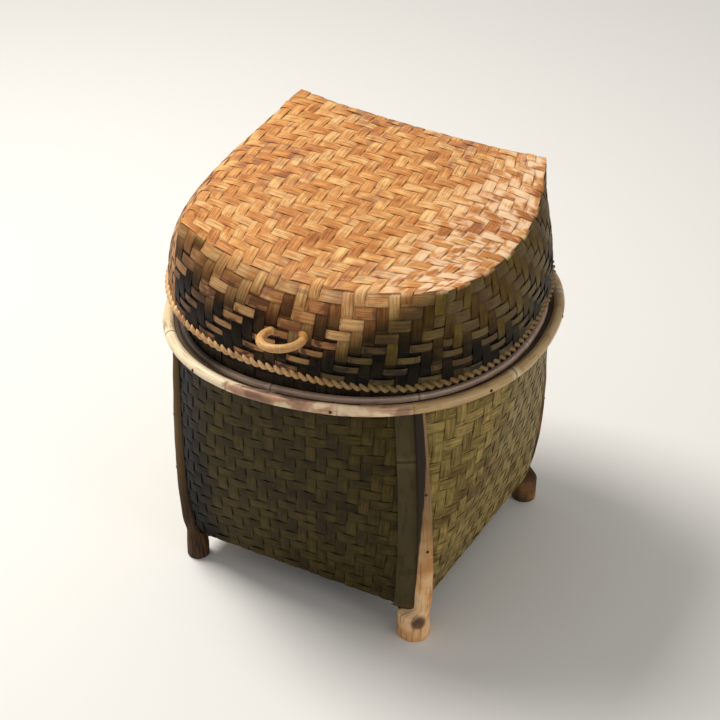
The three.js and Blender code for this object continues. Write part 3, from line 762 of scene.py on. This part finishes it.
def collar_place(along, up):
    angle = along * tau
    z = mix(COLLAR_LOW, COLLAR_TOP, up)
    return around_basket(wall_radius(z, angle, collar_inset(z)), angle, z)


def band_stakes(strips, rows):
    for n in range(strips):
        at = CELLS * n + HALF
        lines = ([(at + side, k) for k in range(CELLS * rows + 1)] for side in (0, -HALF, HALF))
        yield *lines, [on_top(n, v) for v in range(rows)]


def band_weavers(strips, rows):
    for v in range(rows):
        at = CELLS * v + HALF
        lines = ([(n, at + side) for n in range(CELLS * strips)] for side in (0, -HALF, HALF))
        yield *lines, [not on_top(n, v) for n in range(strips)]


# Painted shade: the collar's tones are near black, as it lies in the lid's shadow.
COLLAR_SHADE_TONES = ("221910", "33271a", "3e3122", "2c2117", "1c150e")
shaded_collar_bamboo = bamboo_finish("shaded_collar_bamboo", COLLAR_SHADE_TONES, "140e09", 0.5, "0f0b07", 0.7, 0.2)
collar_mould = band_mould(COLLAR_STRIPS, COLLAR_ROWS, collar_place)
COLLAR = "basket", "body_weave", shaded_collar_bamboo, "collar"
weave("collar_stakes", collar_mould, band_stakes(COLLAR_STRIPS, COLLAR_ROWS), *COLLAR)
weave("collar_weavers", collar_mould, band_weavers(COLLAR_STRIPS, COLLAR_ROWS), *COLLAR,
      closed=True)

# %% [markdown]
# Hoops, legs, the lid's border and the pull ring are all rods. A rod is a grid rolled
# up: one way runs along it and the other round it. The doubles where it closes are
# merged, open ends are filled, and only then are the normals made to point outwards.

# %% Roll a rod
def roll_rod(work, steps, sides, place, closed=False, shade=0.5):
    made = bmesh.ops.create_grid(work, x_segments=steps, y_segments=sides, size=0.5, calc_uvs=True)
    for v in made["verts"]:
        v.co = place(v.co.x + 0.5, v.co.y + 0.5)
        v[work.verts.layers.float["shade"]] = shade
    faces = {f for v in made["verts"] for f in v.link_faces}
    bmesh.ops.remove_doubles(work, verts=made["verts"], dist=0.00001)
    faces = [f for f in faces if f.is_valid]
    if not closed:
        rims = [e for f in faces for e in f.edges if e.is_boundary]
        faces += bmesh.ops.holes_fill(work, edges=rims, sides=0)["faces"]
    bmesh.ops.recalc_face_normals(work, faces=faces)


# %% [markdown]
# Cane keeps its glossy skin. It is pale, a little darker along fine streaks, and at every
# joint of the plant there is a slight swelling with a thin line round it. The colour
# drifts from one end of a length to the other. A length may also be blotched cream and
# brown. Painted shade makes a length black towards the left, where the lid's shadow falls,
# and olive where it is marked as on the right side.

# %% Make the finish of cane
# The olive and the black here are painted shade colours; cream and brown are for blotches.
RIGHT_SHADE_OLIVE_CANE, CREAM, BROWN, LID_SHADOW_BLACK = "98997f", "f6e3bd", "8b7463", "2e2a25"


def cane_finish(name, tones, stain, joints, roughness, gloss=0.5, mottled=0.0, painted_shadow_left=0.0):
    finish = new_finish(name)
    along, around, _ = grain_map(finish)
    spot = object_place(finish)
    drift = fuzz(spot, 9.0, 2.0)
    mood = plus(times(along, 0.6), times(band(drift, 0.35, 0.65), 0.4))
    base = blend_of(mood, *tones)
    thread = node("CombineXYZ", {0: times(along, joints * 3.0), 1: times(around, 9.0)}).outputs[0]
    streak = fuzz(thread, 2.0, 4.0)
    base = tint(band(streak, 0.5, 0.68), base, stain, most=0.5)
    scuff = fuzz(spot, 70.0, 4.0)
    base = tint(band(scuff, 0.55, 0.7), base, stain, most=0.4)
    step = maths("FRACT", plus(times(along, joints), 0.5))
    near = maths("ABSOLUTE", minus(step, 0.5))
    line = band(near, 0.012, 0.004)
    base = tint(band(near, 0.06, 0.012), base, tones[-1], "SCREEN", most=0.35)
    base = tint(line, base, stain, most=0.7)
    # Painted shade: olive where a piece is marked as on the right side.
    base = tint(told(finish, "right_side"), base, RIGHT_SHADE_OLIVE_CANE, "MULTIPLY")
    if mottled:
        blotch = fuzz(spot, 52.0, 2.0)
        base = tint(band(blotch, 0.57, 0.66), base, CREAM, most=mottled)
        base = tint(band(blotch, 0.54, 0.44), base, BROWN, "MULTIPLY", mottled)
    # Painted shade: black towards the left, where the lid's shadow falls.
    if painted_shadow_left:
        x = node("SeparateXYZ", {0: spot}).outputs[0]
        left = band(x, -0.025, -0.06)
        base = tint(left, base, LID_SHADOW_BLACK, "MULTIPLY", painted_shadow_left)
    rough = line_up(scuff, 0.3, 0.7, roughness - 0.08, roughness + 0.14)
    return finish_off(finish, base, minus(streak, line), 0.35, 0.0005, rough, gloss)


# %% [markdown]
# The outer hoop is bent from two lengths of cane. Each joint is a long scarf: both ends
# are shaved thin and lie side by side. The same slanting cut that the CAD solid has
# limits how far out the long length reaches there, and how far in the short one does.

# %% Bend the outer hoop
HOOP_HALF, HOOP_DIAMETER = 145.75, 8.5
HOOP_RADIUS = HOOP_DIAMETER / 2
JOINT_START, JOINT_END = radians(258), radians(312)
JOINT_LENGTH = 38
JOINT_ANGLE = JOINT_LENGTH / HOOP_HALF
JOINT_OUT, JOINT_IN, JOINT_GAP = 0.3, -0.8, 0.15
SWELLING, SWELLING_SHORT, UNEVEN = 0.05, 14, 0.02


def at_mouth(half, angle, height):
    radius = rounded_square(half, MOUTH_CORNER, angle - MOUTH_TURN)
    return around_basket(radius, angle, MOUTH_Z + height)


def scarf_cut(angle):
    """Share of the cane's radius where the joint's cut lies, or None away from a joint."""
    for start, way in ((JOINT_START, 1), (JOINT_END, -1)):
        share = (angle - start) * way / JOINT_ANGLE
        if -0.02 <= share <= 1.02:
            return mix(JOINT_OUT, JOINT_IN, share)
    return None


def hoop_rod(first, last, swells, keep_inside):
    """A length of cane that swells at its joints, cut slantwise at both ends."""
    def place(along, turn):
        angle, around = mix(first, last, along), turn * tau
        beat = abs((along * swells) % 1 - 0.5)
        swollen = SWELLING * (1 - swing((0.5 - beat) * SWELLING_SHORT))
        wander = UNEVEN * noise.noise(Vector((along * 30, 3, 1)))
        plump = HOOP_RADIUS * (1 + swollen - wander)
        out, up = ray(plump, around)
        cut = scarf_cut(angle % (tau))
        if cut is not None and keep_inside:
            out = min(out, cut * HOOP_RADIUS - JOINT_GAP)
        elif cut is not None:
            out = max(out, cut * HOOP_RADIUS + JOINT_GAP)
        return at_mouth(HOOP_HALF + out, angle, up)
    return place


pale_cane = cane_finish("pale_cane", ("b39566", "bc9c69", "cfae80", "ead0a6", "f4dfbc"),
                        "7a5a3c", joints=7.0, roughness=0.36)
pink_cane = cane_finish("pink_cane", ("a37c5c", "b98f6d", "ad8264", "c9a081", "dcb791"),
                        "6b4a38", joints=1.6, roughness=0.4, mottled=0.6)
long_start, long_end = JOINT_END - JOINT_ANGLE, JOINT_START + JOINT_ANGLE + tau
rod = new_cloth()
roll_rod(rod, 420, 16, hoop_rod(long_start, long_end, 6.0, True))
keep_piece("long_hoop_cane", rod, "basket", "cane", pale_cane, "rim_hoop_long", sharp=60)
rod = new_cloth()
roll_rod(rod, 72, 16, hoop_rod(JOINT_START, JOINT_END, 1.6, False))
keep_piece("short_hoop_cane", rod, "basket", "cane", pink_cane, "rim_hoop_short", sharp=60)

# %% [markdown]
# The inner hoop is a flat strip with rounded edges. It went grey-brown from hands and
# smoke, and painted shade makes it black at its left end, where the lid's shadow falls.

# %% Bend the inner hoop
INNER_HOOP_OUT, INNER_HOOP_THICK, INNER_HOOP_TALL = 3.3, 4.5, 9.0


def rounded_bar(turn, thick, tall, power=0.35):
    """A point of a bar's section with rounded edges, across and up, about its middle."""
    angle = turn * tau
    across, up = cos(angle), sin(angle)
    return (copysign(abs(across) ** power, across) * thick / 2,
            copysign(abs(up) ** power, up) * tall / 2)


def inner_hoop_place(along, turn):
    angle = along * tau
    across, up = rounded_bar(turn, INNER_HOOP_THICK, INNER_HOOP_TALL)
    inset = INNER_HOOP_OUT + INNER_HOOP_THICK / 2 - across
    return around_basket(wall_radius(MOUTH_Z + up, angle, inset), angle, MOUTH_Z + up)


grey_cane = cane_finish("grey_cane", ("c4a590", "d8bba5", "e4cbb7", "cdb09b", "ead6c5"),
                        "8a6c5e", joints=8.0, roughness=0.5, painted_shadow_left=0.9)
rod = new_cloth()
roll_rod(rod, 360, 24, inner_hoop_place, closed=True)
keep_piece("inner_hoop_strip", rod, "basket", "dark_cane", grey_cane, "rim_hoop_inner")

# %% [markdown]
# The strips are cut off level between the two hoops, and a cord of fibre is pressed into the
# groove over their ends. Its dark colour is painted shade: from above it is the thin dark
# line between the hoops.

# %% Fill the groove between the hoops
GROOVE_CORD_WIDE, GROOVE_CORD_TALL, GROOVE_SINK = 3.9, 3.4, 0.4


def groove_place(along, turn):
    angle = along * tau
    across, up = rounded_bar(turn, GROOVE_CORD_WIDE, GROOVE_CORD_TALL, 0.7)
    inset = (INNER_HOOP_OUT - GROOVE_SINK) / 2 - across
    return around_basket(wall_radius(MOUTH_Z, angle, inset), angle, MOUTH_Z - GROOVE_SINK + up)


# Painted shade: the cord is near black, as the groove between the hoops is in shade.
groove_shade_fibre = cane_finish("groove_shade_fibre", ("2e2319", "41321f", "37291b", "4a3a26", "54422d"),
                         "1c140d", joints=60.0, roughness=0.7)
rod = new_cloth()
roll_rod(rod, 240, 16, groove_place, closed=True)
keep_piece("rim_groove_cord", rod, "basket", "dark_cane", groove_shade_fibre, "woven_body")

# %% [markdown]
# Two strands are twined round the ends of the lid's strips, half a turn apart. From
# outside each half turn shows as one bead. Towards the right painted shade turns the border
# olive, as it does the lid there.

# %% Twine the lid's border
BORDER_HALF, BORDER_TWISTS, BORDER_TALLER = 138.5, 70, 1.15
STRAND_REACH, STRAND_RADIUS, BEAD_PLUMP = 1.35, 1.8, 0.36
RIGHT_SHADE_REACH = 0.08


def strand_place(offset):
    def place(along, turn):
        angle, around = along * tau, turn * tau
        twist = -BORDER_TWISTS * angle + offset
        bead = 1 + BEAD_PLUMP * cos(twist)
        out = STRAND_REACH * cos(twist) + STRAND_RADIUS * bead * cos(around)
        up = STRAND_REACH * sin(twist) + STRAND_RADIUS * sin(around)
        radius = rounded_square(BORDER_HALF + out, LID_CORNER, angle)
        return on_lid(*ray(radius, angle), BORDER_TALLER * up)
    return place


border_cane = cane_finish("border_cane", ("b98552", "d6a468", "ebc189", "c99862", "efcb98"),
                          "6b452b", joints=90.0, roughness=0.45)
rod = new_cloth()
for strand in range(2):
    roll_rod(rod, BORDER_TWISTS * 12, 8, strand_place(strand * pi), closed=True)
# Painted shade: the border's right side is marked to go olive.
for v in rod.verts:
    v[rod.verts.layers.float["right_side"]] = swing((v.co.x - lid_origin.x) / RIGHT_SHADE_REACH)
keep_piece("lid_border_twine", rod, "lid", "cane", border_cane, "lid_border", sharp=70)

# %% [markdown]
# The pull ring is a short piece of cane bent into a ring. Its two ends are lapped inside
# the lid, where they don't show.

# %% Bend the pull ring
RING_RADIUS, RING_CANE, RING_OUT = 15.3, 6.2, 8.9
RING_LIFT, RING_ROLL = radians(4), radians(5.5)
RING_CHORD = Vector((0, -136.398, 26.908))
ring_pose = Matrix.Rotation(-RING_ROLL, 3, "Y") @ Matrix.Rotation(-RING_LIFT, 3, "X")
lid_turn = Matrix.Rotation(LID_TURN, 3, "Z")


def ring_place(along, turn):
    angle, around = along * tau, turn * tau
    uneven = noise.noise(Vector((cos(angle) * 2, sin(angle) * 2, 5)))
    thick = RING_CANE / 2 * (1 + 0.04 * uneven)
    out = RING_RADIUS + thick * cos(around)
    level = Vector((
        out * cos(angle), out * sin(angle) - RING_OUT, thick * sin(around)))
    return lid_turn @ (ring_pose @ level + RING_CHORD) * MM + lid_origin


ring_cane = cane_finish("ring_cane", ("a5763f", "bd8b50", "d3a468", "a07040", "e0b67e"),
                        "643a1e", joints=5.0, roughness=0.42, gloss=0.3)
rod = new_cloth()
roll_rod(rod, 72, 16, ring_place, closed=True)
keep_piece("pull_ring_cane", rod, "pull_ring", "cane", ring_cane, "pull_ring")

# %% [markdown]
# The legs are whittled sticks. Each stands outside a corner on a thicker foot, narrows at
# a shoulder and climbs the wall to the hoop. Where it would enter the wall it is pushed
# out, so it lies flat against the weave, as a stick does that is pegged and tied tight.
# The table below gives each leg's shares of the front leg's sizes.

# %% Whittle the legs
FOOT_REACH = 195.62 / sqrt(2)
FOOT_EDGE, FOOT_WIDTH, FOOT_TALL, SHOULDER = 1.4, 25.5, 21.5, 27.0
LEG_WIDTHS = (13.6, 10.4, 8.0)
LEG_SHIFT, LEG_SEAT, PRESSED_IN = 5.5, 0.35, 1.1
CUT_WIDE, CUT_LONG, CUT_DEEP, KNOT_LONG, KNOT_DEEP = 1.6, 0.045, 0.065, 0.06, 0.35
LEG_TOP = MOUTH_Z - HOOP_DIAMETER / 2 - 0.3
EDGE_END, FOOT_END = 0.1, 0.4
SHAFT_FROM = SHOULDER * 1.4
SHARES = ("angle", "foot", "tall", "shoulder", "widths", "low", "high", "off", "shade")
LEGS = {name: dict(zip(SHARES, row)) for name, *row in (
    ("front", 315, 1, 1, 1, (1, 1, 1), 1, -0.27, 0, 0.3),
    ("left", 225, 0.69, 0.51, 1.33, (0.88, 0.96, 0.95), -0.18, 0, -0.29, 0.92),
    ("right", 45, 0.785, 0.88, 1, (0.88, 0.9, 0.88), 1.45, 2.18, -0.09, 0.75),
    ("back", 135, 0.745, 0.79, 1.07, (0.88, 0.9, 0.88), 0.55, 0.18, 0.09, 0.6))}


def leg_width(leg, z):
    foot = FOOT_WIDTH * leg["foot"]
    root, middle, tip = (w * share for w, share in zip(LEG_WIDTHS, leg["widths"]))
    foot_top, shoulder = FOOT_TALL * leg["tall"], SHOULDER * leg["shoulder"]
    if z <= shoulder:
        return mix(foot, root, swing((z - foot_top) / (shoulder - foot_top)))
    step = 2 * (z - shoulder) / (LEG_TOP - shoulder)
    return mix(root, middle, step) if step < 1 else mix(middle, tip, step - 1)


def leg_middle(leg, z):
    """Middle of a leg at a height, seen from above: over its foot, then up the wall."""
    angle = radians(leg["angle"])
    rise = min(max((z - FLOOR_Z) / (LEG_TOP - FLOOR_Z), 0), 1)
    turned = angle + LEG_SHIFT * mix(leg["low"], leg["high"], rise) / wall_radius(z, angle)
    foot_top, shoulder = FOOT_TALL * leg["tall"], SHOULDER * leg["shoulder"]
    seat = LEG_SEAT * leg_width(leg, max(z, shoulder)) / 2
    stand = wall_radius(z, turned) + seat + LEG_SHIFT * leg["off"]
    shaft, foot = Vector(ray(stand, turned)), Vector(ray(FOOT_REACH, angle))
    return foot.lerp(shaft, swing((z - foot_top) / (shoulder - foot_top)))


def leg_place(leg):
    """A leg's skin. Its first tenth rounds the foot's edge, then come foot and shaft."""
    seed = leg["angle"]
    ledge = FLOOR_Z - 0.35

    def place(along, turn):
        if along < EDGE_END:
            z = mix(0, FOOT_EDGE, swing(along / EDGE_END))
        elif along < FOOT_END:
            z = mix(FOOT_EDGE, SHAFT_FROM, (along - EDGE_END) / (FOOT_END - EDGE_END))
        else:
            z = mix(SHAFT_FROM, LEG_TOP, (along - FOOT_END) / (1 - FOOT_END))
        edge = FOOT_EDGE * (1 - sqrt(max(0, 1 - (1 - min(z / FOOT_EDGE, 1)) ** 2)))
        around = turn * tau
        cuts = CUT_DEEP * noise.noise(Vector((*ray(CUT_WIDE, around), z * CUT_LONG + seed)))
        knot = KNOT_DEEP * noise.noise(Vector((z * KNOT_LONG, seed, 2)))
        radius = (leg_width(leg, z) / 2 - edge) * (1 + cuts) + knot
        middle = leg_middle(leg, z)
        x, y = middle.x + radius * cos(around), middle.y + radius * sin(around)
        reach, heading = hypot(x, y), atan2(y, x)
        if z > ledge:
            reach = max(reach, wall_radius(z, heading) - PRESSED_IN)
        return around_basket(reach, heading, z)
    return place


TENON_HEIGHT = 19
# The second colour is painted shade for the front leg's left side.
TENON_STAIN, FRONT_LEG_SHADE, OLD_WOOD = "3a241b", "140f0d", "6a5232"
tenon_place = around_basket(
    FOOT_REACH + FOOT_WIDTH / 2, radians(LEGS["front"]["angle"]), TENON_HEIGHT)


def stick_finish(name):
    """Peeled wood: pale and orange by turns, brown where the leg's shade is high. Painted
    shade darkens a strip up the front leg's left side, and the foot is stained round the
    batten's tenon."""
    finish = new_finish(name)
    spot = object_place(finish)
    up, around, _ = grain_map(finish)
    shade = told(finish, "shade")
    patches = fuzz(spot, 45.0, 3.0)
    thread = node("CombineXYZ", {0: times(up, 3.0), 1: times(around, 12.0), 2: shade}).outputs[0]
    streak = fuzz(thread, 2.5, 5.0)
    pale = blend_of(band(patches, 0.35, 0.65), "c98f5a", "e0ad74", "ecc596")
    pale = tint(band(streak, 0.5, 0.7), pale, "8a5232", most=0.6)
    bark = blend_of(band(streak, 0.35, 0.65), "221509", "3a2612", "523519")
    mottled = times(minus(patches, 0.5), 0.8)
    base = tint(band(plus(shade, mottled), 0.4, 0.8), pale, bark)
    base = tint(band(up, 0.38, 0.75), base, OLD_WOOD, most=0.85)
    # Painted shade runs up the front leg's left side, with an edge that winds round the leg; other
    # legs get none.
    ragged = times(minus(streak, 0.5), 0.12)
    reach = line_up(up, 0.45, 0.85, 0.58, 0.92)
    from_edge = minus(plus(around, ragged), reach)
    shaded_strip = times(band(from_edge, 0.02, -0.02), band(around, 0.44, 0.5))
    shaded_strip = times(shaded_strip, band(shade, 0.6, 0.5))
    base = tint(shaded_strip, base, FRONT_LEG_SHADE, most=0.93)
    away = node("VectorMath", {0: spot, 1: tenon_place}, operation="DISTANCE")
    ring = times(minus(patches, 0.5), 0.006)
    ring = plus(away.outputs["Value"], ring)
    base = tint(band(ring, 0.0085, 0.004), base, TENON_STAIN, most=0.85)
    rough = line_up(patches, 0, 1, 0.58, 0.8)
    return finish_off(finish, base, streak, 0.5, 0.0006, rough, gloss=0.25)


peeled_wood = stick_finish("peeled_wood")
for name, leg in LEGS.items():
    stick = new_cloth()
    roll_rod(stick, 130, 28, leg_place(leg), shade=leg["shade"])
    keep_piece(f"{name}_leg_stick", stick, "basket", "stick", peeled_wood, f"leg_{name}", sharp=50)

# %% [markdown]
# A smooth lath covers the wall's weave on the left of the front leg, from floor to rim. It
# is a wide split of bamboo with its skin on, tucked under the leg's edge.

# %% Split the lath
LATH_WIDTH, LATH_THICK, LATH_GAP = 15.0, 1.3, 0.1
LATH_LOW, LATH_TOP = FLOOR_Z + 0.6, LEG_TOP - 0.4
LATH_ASIDE, LATH_STRAIGHT_BELOW = 6.5, 38


def lath_place(along, turn):
    z = mix(LATH_LOW, LATH_TOP, along)
    across, up = rounded_bar(turn, LATH_THICK, LATH_WIDTH, 0.5)
    middle = leg_middle(LEGS["front"], z)
    aside = leg_width(LEGS["front"], max(z, LATH_STRAIGHT_BELOW)) / 2 + LATH_ASIDE
    heading = atan2(middle.y, middle.x) - aside / middle.length
    heading += up / middle.length
    radius = wall_radius(z, heading) + LATH_THICK / 2 + LATH_GAP + across
    return around_basket(radius, heading, z)


lath_cane = cane_finish("lath_cane", ("3c331b", "433920", "4a3f24", "3f361e", "50452a"),
                        "2a2113", joints=1.3, roughness=0.6, gloss=0.15)
rod = new_cloth()
roll_rod(rod, 90, 24, lath_place)
keep_piece("edge_lath", rod, "basket", "body_weave", lath_cane, "woven_body", sharp=50)

# %% [markdown]
# Pegs of split bamboo go through hoops, wall and collar, and through each leg and the
# wall. Their ends stand a hair proud and have gone dark.

# %% Cut the pegs
PEG_RADIUS, PEG_EDGE, PEG_INSIDE, PEG_SHADE = 1.3, 0.35, 1.2, 1.4
RIM_PEGS, FIRST_RIM_PEG, RIM_PEG_PROUD = 8, 20, 0.4
LEG_PEG_HEIGHTS, LEG_PEG_PROUD = (89, 140), 0.3
COLLAR_INSIDE = MOUTH_HALF - BEHIND_HOOP - COLLAR_THICKNESS


def add_peg(work, angle, z, near, far):
    """A round peg with soft ends that lies level and points away from the axis."""
    before = set(work.verts)
    made = bmesh.ops.create_cone(
        work, cap_ends=True, segments=14, radius1=PEG_RADIUS, radius2=PEG_RADIUS,
        depth=far - near, calc_uvs=True)
    ends = {e for v in made["verts"] for e in v.link_edges
            if abs(e.verts[0].co.z - e.verts[1].co.z) < 0.1}
    bmesh.ops.bevel(work, geom=list(ends), offset=PEG_EDGE, offset_type="OFFSET",
                    affect="EDGES", segments=2, profile=0.5, material=-1)
    for v in set(work.verts) - before:
        along, side, up = v.co.z + (near + far) / 2, v.co.y, v.co.x
        x = along * cos(angle) - side * sin(angle)
        y = along * sin(angle) + side * cos(angle)
        v.co = in_basket(x, y, z + up)


def keep_pegs(name, pegs, *stands_for):
    for v in pegs.verts:
        v[pegs.verts.layers.float["shade"]] = PEG_SHADE
    bmesh.ops.recalc_face_normals(pegs, faces=pegs.faces[:])
    keep_piece(name, pegs, "basket", "peg", dark_peg, *stands_for)


dark_peg = stick_finish("dark_peg")
pegs = new_cloth()
for n in range(RIM_PEGS):
    angle = radians(FIRST_RIM_PEG + 360 / RIM_PEGS * n)
    inner = rounded_square(COLLAR_INSIDE, MOUTH_CORNER, angle - MOUTH_TURN) - PEG_INSIDE
    outer = rounded_square(HOOP_HALF + HOOP_DIAMETER / 2, MOUTH_CORNER, angle - MOUTH_TURN)
    add_peg(pegs, angle, MOUTH_Z, inner, outer + RIM_PEG_PROUD)
keep_pegs("rim_peg_set", pegs, *(f"rim_peg_{n}" for n in range(1, RIM_PEGS + 1)))
pegs = new_cloth()
for leg in LEGS.values():
    for z in LEG_PEG_HEIGHTS:
        middle = leg_middle(leg, z)
        angle = atan2(middle.y, middle.x)
        inner = wall_radius(z, angle, WALL_THICKNESS) - PEG_INSIDE
        add_peg(pegs, angle, z, inner, middle.length + leg_width(leg, z) / 2 + LEG_PEG_PROUD)
keep_pegs("leg_peg_set", pegs,
          *(f"leg_peg_{leg}_{end}" for leg in LEGS for end in ("lower", "upper")))

# %% [markdown]
# The battens under the floor and the hoop inside the lid have the right shape in the CAD
# model already, so they only need a finish. They have no UV map, and their grain runs on
# Object coordinates instead.

# %% Finish the pieces that stay
def plain_wood_finish(name, tones, stretch):
    finish = new_finish(name)
    spot = node("Mapping", {0: object_place(finish), 3: stretch}).outputs[0]
    grain = fuzz(spot, 60.0, 5.0)
    base = blend_of(band(grain, 0.3, 0.7), *tones)
    return finish_off(finish, base, grain, 0.4, 0.0004, line_up(grain, 0, 1, 0.45, 0.7))


batten_wood = plain_wood_finish("batten_wood", ("3a2618", "5b3f28", "7a5836"), (1, 1, 1))
seat_hoop_cane = plain_wood_finish("seat_hoop_cane", ("4e3b2a", "6a5038", "7f6248"), (1, 1, 4))
for name, finish in (("floor_batten_front_back", batten_wood),
                     ("floor_batten_left_right", batten_wood), ("lid_seat_hoop", seat_hoop_cane)):
    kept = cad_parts[name]
    kept.data.materials.clear()
    kept.data.materials.append(finish)
print("finished the kept pieces")

# %% [markdown]
# The floor and the light are plain, so that the basket's own colours show. A small lamp
# above the left gives the photo's warm top and dark front, and a large one far out on the
# right lifts the right face. The floor is wide enough for low views.

# %% Set up floor, sky and lamps
FLOOR_SIZE, FLOOR_TONE, FLOOR_ROUGHNESS = 40, "e9e8e5", 0.9
SKY_TONE, SKY_STRENGTH = (1, 0.98, 0.95, 1), 0.42
LAMPS_AIM = Vector((0, 0, 0.15))

floor_work = bmesh.new()
bmesh.ops.create_grid(floor_work, x_segments=1, y_segments=1, size=FLOOR_SIZE)
floor_mesh = bpy.data.meshes.new("floor")
floor_work.to_mesh(floor_mesh)
floor_work.free()
floor = add_object("floor", floor_mesh)
floor_paint = new_finish("floor_paint")
floor_shader = floor_paint.node_tree.nodes["Principled BSDF"]
floor_shader.inputs["Base Color"].default_value = colour(FLOOR_TONE)
floor_shader.inputs["Roughness"].default_value = FLOOR_ROUGHNESS
floor_mesh.materials.append(floor_paint)

world = bpy.data.worlds.new("studio")
world.use_nodes = True
sky = world.node_tree.nodes["Background"]
sky.inputs["Color"].default_value = SKY_TONE
sky.inputs["Strength"].default_value = SKY_STRENGTH
bpy.context.scene.world = world


def soft_lamp(name, place, watts, size, tone):
    lamp = bpy.data.lights.new(name, "AREA")
    lamp.energy, lamp.size, lamp.color = watts, size, tone
    holder = add_object(name, lamp)
    holder.location = place
    towards = Vector(place) - LAMPS_AIM
    holder.rotation_euler = towards.to_track_quat("Z", "Y").to_euler()


soft_lamp("key_lamp", (-0.75, 0.0, 1.45), 23, 0.6, (1, 0.96, 0.9))
soft_lamp("fill_lamp", (5.4, -0.9, 1.5), 72, 3.0, (1, 0.97, 0.92))
bpy.context.scene.view_settings.view_transform = "Standard"
print("lamps set")
